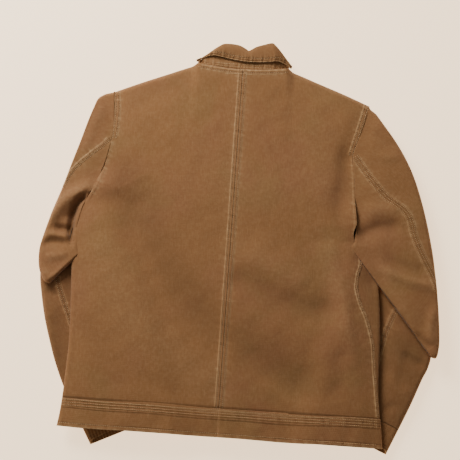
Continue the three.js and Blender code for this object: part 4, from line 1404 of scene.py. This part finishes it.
@dataclass(frozen=True)
class Collar:
    """The collar: a stand sewn to the neck, and a leaf that turns over its top crease and stands off the back."""

    crease_height: float = 31.5
    stand_duck: float = 1.8  # thickness
    leaf_duck: float = 2.4
    point_duck: float = 2.2
    fold: float = 12.0  # the stand's turn at the side of the neck is this deep across
    half: float = 13.0  # and twice this high
    front_height: float = 26.0
    ends: tuple[float, float] = (-83.5, 86.0)  # the leaf's, across
    turned: float = 0.16  # the share of the leaf that turns over the crease
    row_up: float = 4.8  # the leaf's row of stitches, up from its edge line
    # The crease over the back of the neck, with its notch, and the line of the leaf's edge.
    crease = ((-84, 653), (-62, 667), (-42, 681), (-35, 684), (-24, 684.5), (-12, 683.5), (-4, 681), (4, 676.5),
              (8, 674), (12, 676), (22, 682.5), (36, 687.5), (46, 690.5), (51, 690.5), (56, 686.5), (66, 677),
              (78, 664), (88, 653))
    edge = ((-86, 651.5), (-81, 655), (-70, 660), (-57, 663), (-40, 661.5), (-20, 658), (0, 655.5), (14, 655),
            (34, 656.5), (52, 659), (64, 660.5), (76, 657.5), (89, 650.5))

    def shape(self, line: Line, x: np.ndarray) -> np.ndarray:
        """The height up the jacket of a line, at places across."""
        fine = curve(line, 1.5)
        order = np.argsort(fine[:, 0])
        return np.interp(x, fine[order, 0], fine[order, 1])

    def build(self, pieces: Pieces) -> None:
        """The stand, the leaf and the two points under the front."""
        self.stand(pieces)
        self.leaf(pieces)
        for side in Side:
            self.point(pieces, side)

    def stand(self, pieces: Pieces) -> None:
        """The stand: up from the neck seam to the crease at the back, and round to the front edges."""
        u = np.linspace(0, 1, 260)
        v = np.linspace(0, 1, 40)[:, None]
        s = np.where(u < 0.5, -1.0, 1.0)
        out = np.abs(2 * u - 1)
        fold = self.fold
        quarter = math.pi / 2 * math.sqrt((fold**2 + self.half**2) / 2)
        wide = BODY.neck_half
        back_run = quarter + wide - fold
        round_ = mix(back_run, -(back_run - BODY.zip_edge), out)
        front = round_ < 0
        turn = np.clip(np.abs(round_) / quarter, 0, 1) * math.pi / 2
        d = wide - fold * (1 - np.cos(turn)) - np.maximum(np.abs(round_) - quarter, 0)
        foot_back, foot_front = (BODY.top_of(np.minimum(d, wide), Side.LEFT, before) for before in (False, True))
        foot = np.where(front, foot_front, foot_back) + 0.8
        crest = self.shape(self.crease, s * np.minimum(d, 83))
        top = np.where(front, foot_front + self.front_height, np.maximum(crest - 2.2, foot + 6))
        top = mix(top, foot_back + 9, np.cos(turn) ** 2)  # it is low at the side of the neck
        y = mix(foot, top, v)
        high = mix(29.8 - 9 * eased(d, 40, 85), self.crease_height - 1.2 - 8 * eased(d, 50, 85), v)
        low = np.full_like(high, 6.0)
        z = (high + low) / 2 + np.where(front, -1, 1) * (high - low) / 2 * np.sin(turn)
        x = np.broadcast_to(s * d, y.shape)
        rows = bell(y - foot - 4.2, 0.9) + bell(y - foot - 0.6, 0.8)
        wave = sum(np.sin(2 * math.pi * x / w + w) for w in (5.1, 7.7, 12.0)) / 2
        near = bell(y - foot - 3, 7)
        z = z + np.where(front, 0, 0.35 * wave * near - 0.4 * rows)
        wear_and_shade = np.where(front, 0, (0.3 * wave + 0.25) * near - 0.5 * rows)
        pieces.cloth("collar_stand", Sheet(np.stack([x, y, z], axis=-1), wear_and_shade), self.stand_duck, Finish.DUCK)

    def leaf(self, pieces: Pieces) -> None:
        """The leaf: over the crease, and back down to an edge that stands off the jacket."""
        first, last = self.ends
        x = np.linspace(first, last, 240)[None, :]
        v = np.linspace(0, 1, 64)[:, None]
        crest, edge = self.shape(self.crease, x), self.shape(self.edge, x) - 1.8
        end = 1 - eased(np.minimum(x - first, last - x), 0, 34)
        lip = self.crease_height - 1.5 + mix(4.2, -7.0, end)
        turned, whole = self.turned, math.pi * 0.62  # the turn over the crease is a little over a quarter
        turn = np.clip(v / turned, 0, 1) * whole
        radius = mix(3.6, 1.6, end)
        rest = np.clip((v - turned) / (1 - turned), 0, 1)
        start_y = crest - radius * (1 - math.sin(whole))
        foot_z = self.crease_height - 1.5 - 7.5 * end
        start_z = foot_z + radius * (1 - math.cos(whole))
        y = np.where(v < turned, crest - radius * (1 - np.sin(turn)), mix(start_y, edge, rest))
        belly = 2.6 * np.sin(math.pi * rest) * (1 - end)
        z = np.where(v < turned, foot_z + radius * (1 - np.cos(turn)), mix(start_z, lip, rest) + belly)
        from_edge = (1 - rest) * np.hypot(start_y - edge, lip - start_z)
        rows = bell(from_edge - 6.2, 0.9) + bell(from_edge - 1.6, 0.9)
        wave = sum(np.sin(2 * math.pi * x / w + 2 * w) for w in (5.7, 8.3, 13.0)) / 2
        near = bell(from_edge - 4, 6)
        z = z + 0.4 * wave * near - 0.45 * rows + 0.5 * bell(from_edge, 1.2)
        z = z + ripples(x, y, 40, 0.5, 95)
        # The leaf's edge is coloured pale: rubbed wear, and a painted highlight on its thick edge.
        wear_and_shade = (0.3 * wave + 0.1) * near - 0.55 * rows + 0.9 * bell(from_edge, 1.5)
        wear_and_shade = wear_and_shade + 0.3 * bell(v, 0.2) * (0.6 + 0.4 * wave)
        x = np.broadcast_to(x, y.shape)
        sheet = Sheet(np.stack([x, y, z], axis=-1), wear_and_shade)
        pieces.cloth("collar_leaf", sheet, self.leaf_duck, Finish.DUCK, "collar", held="folded")

    def point(self, pieces: Pieces, side: Side) -> None:
        """A collar point, flat between the front and the floor."""
        crease = BODY.back_length - BODY.front_drop + self.front_height
        u, v = np.meshgrid(np.linspace(0, 1, 40), np.linspace(0, 1, 40))
        top_in, top_out = np.array([12.0, crease - 12]), np.array([92.0, crease + 6])
        low_in, low_out = np.array([43.0, crease - 84]), np.array([95.0, crease - 34])
        plan = (
            (1 - u)[..., None] * ((1 - v)[..., None] * low_in + v[..., None] * top_in)
            + u[..., None] * ((1 - v)[..., None] * low_out + v[..., None] * top_out)
        )
        z = 1.2 + ripples(plan[..., 0], plan[..., 1], 60, 0.15, 96)
        points = np.stack([side.sign * plan[..., 0], plan[..., 1], z], axis=-1)
        sheet = Sheet(points)
        pieces.cloth(f"collar_point_{side.value}", sheet, self.point_duck, Finish.DUCK, outward=DOWN, held="folded")


# ---- Geometry Nodes: stitches and zip teeth --------------------------------------------------------------------


class Repeater:
    """A Geometry Nodes tree that sets a small shape along every line of a mesh of edges."""

    def __init__(self, name: str, finish: Finish, block: bool) -> None:
        """Builds the tree.

        Args:
            name: the tree's name.
            finish: what the shapes are made of.
            block: whether each shape is a block, as a zip's tooth is, and not a stitch.
        """
        tree = bpy.data.node_groups.new(name, "GeometryNodeTree")
        self.tree = tree
        self.inputs: dict[str, str] = {}
        face = tree.interface
        face.new_socket("Lines", in_out="INPUT", socket_type="NodeSocketGeometry")
        for label, value in (("Pitch", 0.003), ("Length", 0.0021), ("Width", 0.0008), ("Height", 0.0006)):
            socket = face.new_socket(label, in_out="INPUT", socket_type="NodeSocketFloat")
            socket.default_value = value
            self.inputs[label] = socket.identifier
        face.new_socket("Shapes", in_out="OUTPUT", socket_type="NodeSocketGeometry")
        given = add(tree, "NodeGroupInput").outputs
        lines = add(tree, "GeometryNodeMeshToCurve", {"Mesh": given["Lines"]}).outputs[0]
        spaced = {"Curve": lines, "Length": given["Pitch"]}
        even = add(tree, "GeometryNodeResampleCurve", spaced, mode="LENGTH").outputs[0]
        sizes = {0: given["Length"], 1: given["Width"], 2: given["Height"]}
        size = add(tree, "ShaderNodeCombineXYZ", sizes).outputs[0]
        if block:
            unit = add(tree, "GeometryNodeMeshCube", {"Size": size}).outputs["Mesh"]
        else:
            ball = add(tree, "GeometryNodeMeshUVSphere", {"Segments": 6, "Rings": 4, "Radius": 0.5}).outputs["Mesh"]
            unit = add(tree, "GeometryNodeTransform", {"Geometry": ball, "Scale": size}).outputs[0]
        tangent = add(tree, "GeometryNodeInputTangent").outputs[0]
        turned = add(tree, "FunctionNodeAlignRotationToVector", {"Vector": tangent}, axis="X").outputs[0]
        placed = {"Points": even, "Instance": unit, "Rotation": turned}
        shapes = add(tree, "GeometryNodeInstanceOnPoints", placed).outputs[0]
        real = add(tree, "GeometryNodeRealizeInstances", {"Geometry": shapes}).outputs[0]
        done = add(tree, "GeometryNodeSetMaterial", {"Geometry": real, "Material": finish.material}).outputs[0]
        add(tree, "NodeGroupOutput", {"Shapes": done})

    def run(self, name: str, lines: Sequence[np.ndarray], **sizes: float) -> bpy.types.Object:
        """Sets the shapes along some lines.

        Args:
            name: the new piece's name.
            lines: each line's points, in metres in the part's frame.
            sizes: the tree's inputs in millimetres, by their labels in small letters.

        Returns:
            The piece, as a plain mesh.
        """
        points = np.vstack(lines)
        edges, start = [], 0
        for line in lines:
            edges += [(start + i, start + i + 1) for i in range(len(line) - 1)]
            start += len(line)
        mesh = bpy.data.meshes.new(name)
        mesh.from_pydata(points.tolist(), edges, [])
        piece = linked(name, mesh)
        modifier = piece.modifiers.new("repeat", "NODES")
        modifier.node_group = self.tree
        for label, value in sizes.items():
            modifier[self.inputs[label.capitalize()]] = value / 1000
        return settle(piece)


@dataclass(frozen=True)
class Stitching:
    """Rows of stitches, each lying on the piece of cloth that it is sewn into."""

    pitch: float = 3.1  # mm: about eight stitches to the inch
    length: float = 2.3
    width: float = 1.05  # real thread is about 0.5, drawn wider so that it shows
    height: float = 0.8
    steepest: float = 0.25  # the least upward share of the cloth's facing that still takes stitches
    break_at: float = 0.009  # m: a row that jumps further than this starts anew

    def drop(self, piece: bpy.types.Object, plan: np.ndarray) -> list[np.ndarray]:
        """Lets a line fall onto a piece.

        Args:
            piece: the cloth.
            plan: the line's places, in the jacket's millimetres.

        Returns:
            The stretches of the line that lie on the cloth, in metres.
        """
        tree = BVHTree.FromPolygons([v.co for v in piece.data.vertices], [p.vertices for p in piece.data.polygons])
        runs: list[list[Vector]] = [[]]
        for x, y in plan:
            hit, normal, _, _ = tree.ray_cast(LAYOUT.at(x, y, 150), DOWN)
            lies = hit is not None and normal.z >= self.steepest
            if not lies or (runs[-1] and (hit - runs[-1][-1]).length > self.break_at):
                runs.append([])
            if lies:
                runs[-1].append(hit + normal * 0.0001)
        return [np.array(run) for run in runs if len(run) > 2]

    def sew(
        self, pieces: Pieces, tree: Repeater, name: str, body: str | None, rows: Sequence[tuple[str, np.ndarray]]
    ) -> bpy.types.Object:
        """Sews rows of stitches into some pieces.

        Args:
            pieces: the pieces made so far.
            tree: makes the stitches.
            name: the stitches' name.
            body: the moving body that they ride on, or None if they ride on none.
            rows: for each row, the cloth that it is sewn into and its plan.

        Returns:
            The stitches, as one piece.
        """
        lines = [run for cloth, plan in rows for run in self.drop(pieces.made[cloth], plan)]
        piece = tree.run(name, lines, pitch=self.pitch, length=self.length, width=self.width, height=self.height)
        pieces.keep(piece, Finish.THREAD, body)
        return piece

    @staticmethod
    def level(y: float, x0: float, x1: float) -> np.ndarray:
        """A line straight across."""
        x = np.arange(x0, x1, 2.0)
        return np.column_stack([x, np.full(len(x), y)])

    def body_rows(self) -> list[tuple[str, np.ndarray]]:
        """The rows on the back, the waistband and the collar's stand."""
        band = Waistband()
        rows = [("waistband_cloth", self.level(y, -262, 263)) for y in (*band.rows_up, band.hem_row)]
        for line in [line for seam in BACK_SEAMS for line in seam.row_lines()]:
            for side in Side:
                part = line[line[:, 0] * side.sign >= 0.3]
                if len(part) > 2:
                    rows.append((f"back_panel_{side.value}_cloth", part))
        # The centre seam's middle row lies between the two panels, so it is sewn into the right one's edge.
        rows.append(("back_panel_right_cloth", np.column_stack([np.full(297, 0.4), np.linspace(48, 639, 297)])))
        rows += [("collar_stand_cloth", self.level(y, -70, 70)) for y in (645.0, 649.0)]
        # A short tack crosses the foot of the centre seam, and one lies below the neck.
        rows.append(("waistband_cloth", self.level(46.4, -9, 9)))
        rows.append(("back_panel_left_cloth", self.level(630.5, -30, -1)))
        rows.append(("back_panel_right_cloth", self.level(630.5, 1, 16)))
        return rows

    def build(self, pieces: Pieces, sleeves: Sequence[Sleeve]) -> None:
        """Every row that shows."""
        tree = Repeater("stitches", Finish.THREAD, False)
        self.sew(pieces, tree, "stitches_body", "jacket", self.body_rows())
        collar = Collar()
        x = np.linspace(-74, 73, 74)
        leaf_row = np.column_stack([x, collar.shape(collar.edge, x) + collar.row_up])
        self.sew(pieces, tree, "stitches_collar", "collar", [("collar_leaf_cloth", leaf_row)])
        for sleeve in sleeves:
            shape = sleeve.shape
            s = shape.side.value
            own = [(f"sleeve_{s}_upper_arm", line) for seam in shape.upper_seams for line in seam.row_lines()]
            own += [(f"sleeve_{s}_forearm", line) for seam in shape.fore_seams for line in seam.row_lines()]
            sleeve.bend(self.sew(pieces, tree, f"stitches_sleeve_{s}", None, own))


# ---- Zip, buttons and trim -------------------------------------------------------------------------------------


@dataclass(frozen=True)
class Trim:
    """The zip, the cuff buttons, the hang loop and the label."""

    level: float = 8.0  # height of the middle of the zip off the floor
    low: float = 15.0  # the rows of teeth run from here
    high: float = 559.0  # to here, up from the hem
    off: float = 2.25  # how far each row's middle lies from the middle of the zip
    tooth: float = 1.5  # each tooth's length along the zip
    pitch: float = 2.6  # from one tooth to the next
    tooth_wide: float = 1.85
    tooth_high: float = 2.2
    brass = ("zip_box", "zip_pin", "zip_slider", "zip_pull", "zip_top_stop_left", "zip_top_stop_right",
             "cuff_button_left", "cuff_button_right")  # CAD nodes that keep their shape

    def build(self, pieces: Pieces) -> None:
        """Builds all of it."""
        self.zip(pieces)
        for node in self.brass:
            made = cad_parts[node]
            made = made if isinstance(made, bpy.types.Object) else bpy.data.objects[node]
            dress(made, Finish.BRASS)
        self.neck(pieces)

    def zip(self, pieces: Pieces) -> None:
        """Two tapes, each with its row of teeth."""
        teeth = Repeater("zip_teeth", Finish.BRASS, True)
        for side in Side:
            s = side.value
            u, v = np.meshgrid(np.linspace(3.6, 23.4, 12), np.linspace(3, 563, 200))
            weave = 0.08 * np.sin(u * 4.2)
            z = self.level + 0.3 + weave + ripples(u, v, 90, 0.04, 97)
            tape = Sheet(np.stack([side.sign * u, v, z], axis=-1))
            pieces.cloth(f"zip_tape_{s}", tape, 0.6, Finish.TAPE)
            line = LAYOUT.place(np.array([[side.sign * self.off, y, self.level] for y in (self.low, self.high)]))
            sizes = {"pitch": self.pitch, "length": self.tooth, "width": self.tooth_wide, "height": self.tooth_high}
            row = teeth.run(f"zip_teeth_{s}", [line], **sizes)
            pieces.keep(row, Finish.BRASS, "jacket", f"zip_chain_{s}")

    def neck(self, pieces: Pieces) -> None:
        """The hang loop and the blank label inside the neck."""
        u, v = np.meshgrid(np.linspace(0, 1, 60), np.linspace(0, 1, 12))
        x = mix(-32.0, 32.0, u)
        y = 637 - 13 * np.sin(math.pi * u) + (v - 1) * 10.6
        z = 22.6 - 0.8 * np.sin(math.pi * u) + 0.3 * np.cos(2 * math.pi * v)
        pieces.cloth("hang_loop", Sheet(np.stack([x, y, z], axis=-1)), 0.9, Finish.FACING, outward=DOWN)
        x, y = np.meshgrid(np.linspace(-34, 34, 40), np.linspace(572, 612, 24))
        label = Sheet(np.stack([x, y, 22.2 + ripples(x, y, 30, 0.15, 98)], axis=-1))
        pieces.cloth("neck_label", label, 0.5, Finish.LABEL, outward=DOWN)


# ---- Floor, light and camera -----------------------------------------------------------------------------------


@dataclass(frozen=True)
class Lamp:
    """A square area light that faces the middle of the jacket."""

    name: str
    place: tuple[float, float, float]  # m
    size: float  # m
    power: float  # W
    colour: str

    def build(self) -> None:
        """Makes the light."""
        data = bpy.data.lights.new(self.name, "AREA")
        data.size = self.size
        data.energy = self.power
        data.color = linear(self.colour)[:3]
        lamp = linked(self.name, data)
        lamp.location = self.place
        lamp.rotation_euler = (-Vector(self.place)).to_track_quat("-Z", "Y").to_euler()


@dataclass(frozen=True)
class Studio:
    """A pale floor, a soft light from the upper left, and a camera that looks down on the jacket."""

    aim: tuple[float, float] = (-3.3, 354.4)  # the point in the middle of the view, in the jacket's millimetres
    distance: float = 1.55  # m
    tilt: float = 10.0  # degrees off straight down, towards the hem
    roll: float = 4.0  # degrees
    half_angle: float = 14.6  # degrees, half the width of the view
    lamps: tuple[Lamp, ...] = (
        Lamp("window", (-1.0, 1.25, 1.15), 0.9, 46.0, "#fffaf2"),
        Lamp("fill", (-1.2, -0.6, 2.2), 2.4, 5.0, "#fff6ea"),
    )

    def camera(self) -> None:
        """The camera."""
        data = bpy.data.cameras.new("camera")
        data.sensor_width = 36.0
        data.lens = 18.0 / math.tan(math.radians(self.half_angle))
        camera = linked("camera", data)
        tilt, roll = math.radians(self.tilt), math.radians(self.roll)
        away = Vector((math.sin(tilt) * math.sin(roll), -math.sin(tilt) * math.cos(roll), math.cos(tilt)))
        camera.location = LAYOUT.at(*self.aim, 0) + away * self.distance
        camera.rotation_euler = (tilt, 0.0, roll)
        bpy.context.scene.camera = camera

    def floor(self) -> None:
        """A smooth painted floor, a warm off-white."""
        mesh = bpy.data.meshes.new("floor")
        half = 30.0  # m, so that its far edge stays out of sight from low angles
        corners = [(-half, -half, 0), (half, -half, 0), (half, half, 0), (-half, half, 0)]
        mesh.from_pydata(corners, [], [(0, 1, 2, 3)])
        floor = linked("floor", mesh)
        floor.location.z = -0.0005
        made, tree = fresh("painted_floor")
        # It gives off a little light of its own, as a floor in a bright room seems to.
        floor_look = {"Base Color": linear("#efdcc4"), "Roughness": 0.7, "Emission Color": linear("#f7d8b0")}
        surface = add(tree, "ShaderNodeBsdfPrincipled", floor_look | {"Emission Strength": 2.15})
        add(tree, "ShaderNodeOutputMaterial", {"Surface": surface.outputs[0]})
        mesh.materials.append(made)

    def build(self) -> None:
        """All of it."""
        self.camera()
        self.floor()
        for lamp in self.lamps:
            lamp.build()
        world = bpy.data.worlds.new("room")
        world.use_nodes = True
        background = world.node_tree.nodes["Background"].inputs
        background["Color"].default_value = linear("#f6eee4")
        background["Strength"].default_value = 0.22
        bpy.context.scene.world = world


def main() -> None:
    """Builds the jacket and its surroundings, in order."""
    logging.basicConfig(level=logging.INFO, format="%(message)s")
    Studio().build()
    pieces = Pieces()
    panels = BodyPanels()
    panels.back(pieces)
    panels.fronts(pieces)
    Waistband().build(pieces)
    sleeves = (Sleeve(LEFT_SLEEVE), Sleeve(RIGHT_SLEEVE))
    for sleeve in sleeves:
        sleeve.build(pieces)
    Collar().build(pieces)
    Stitching().build(pieces, sleeves)
    Trim().build(pieces)


if __name__ == "__main__":
    main()
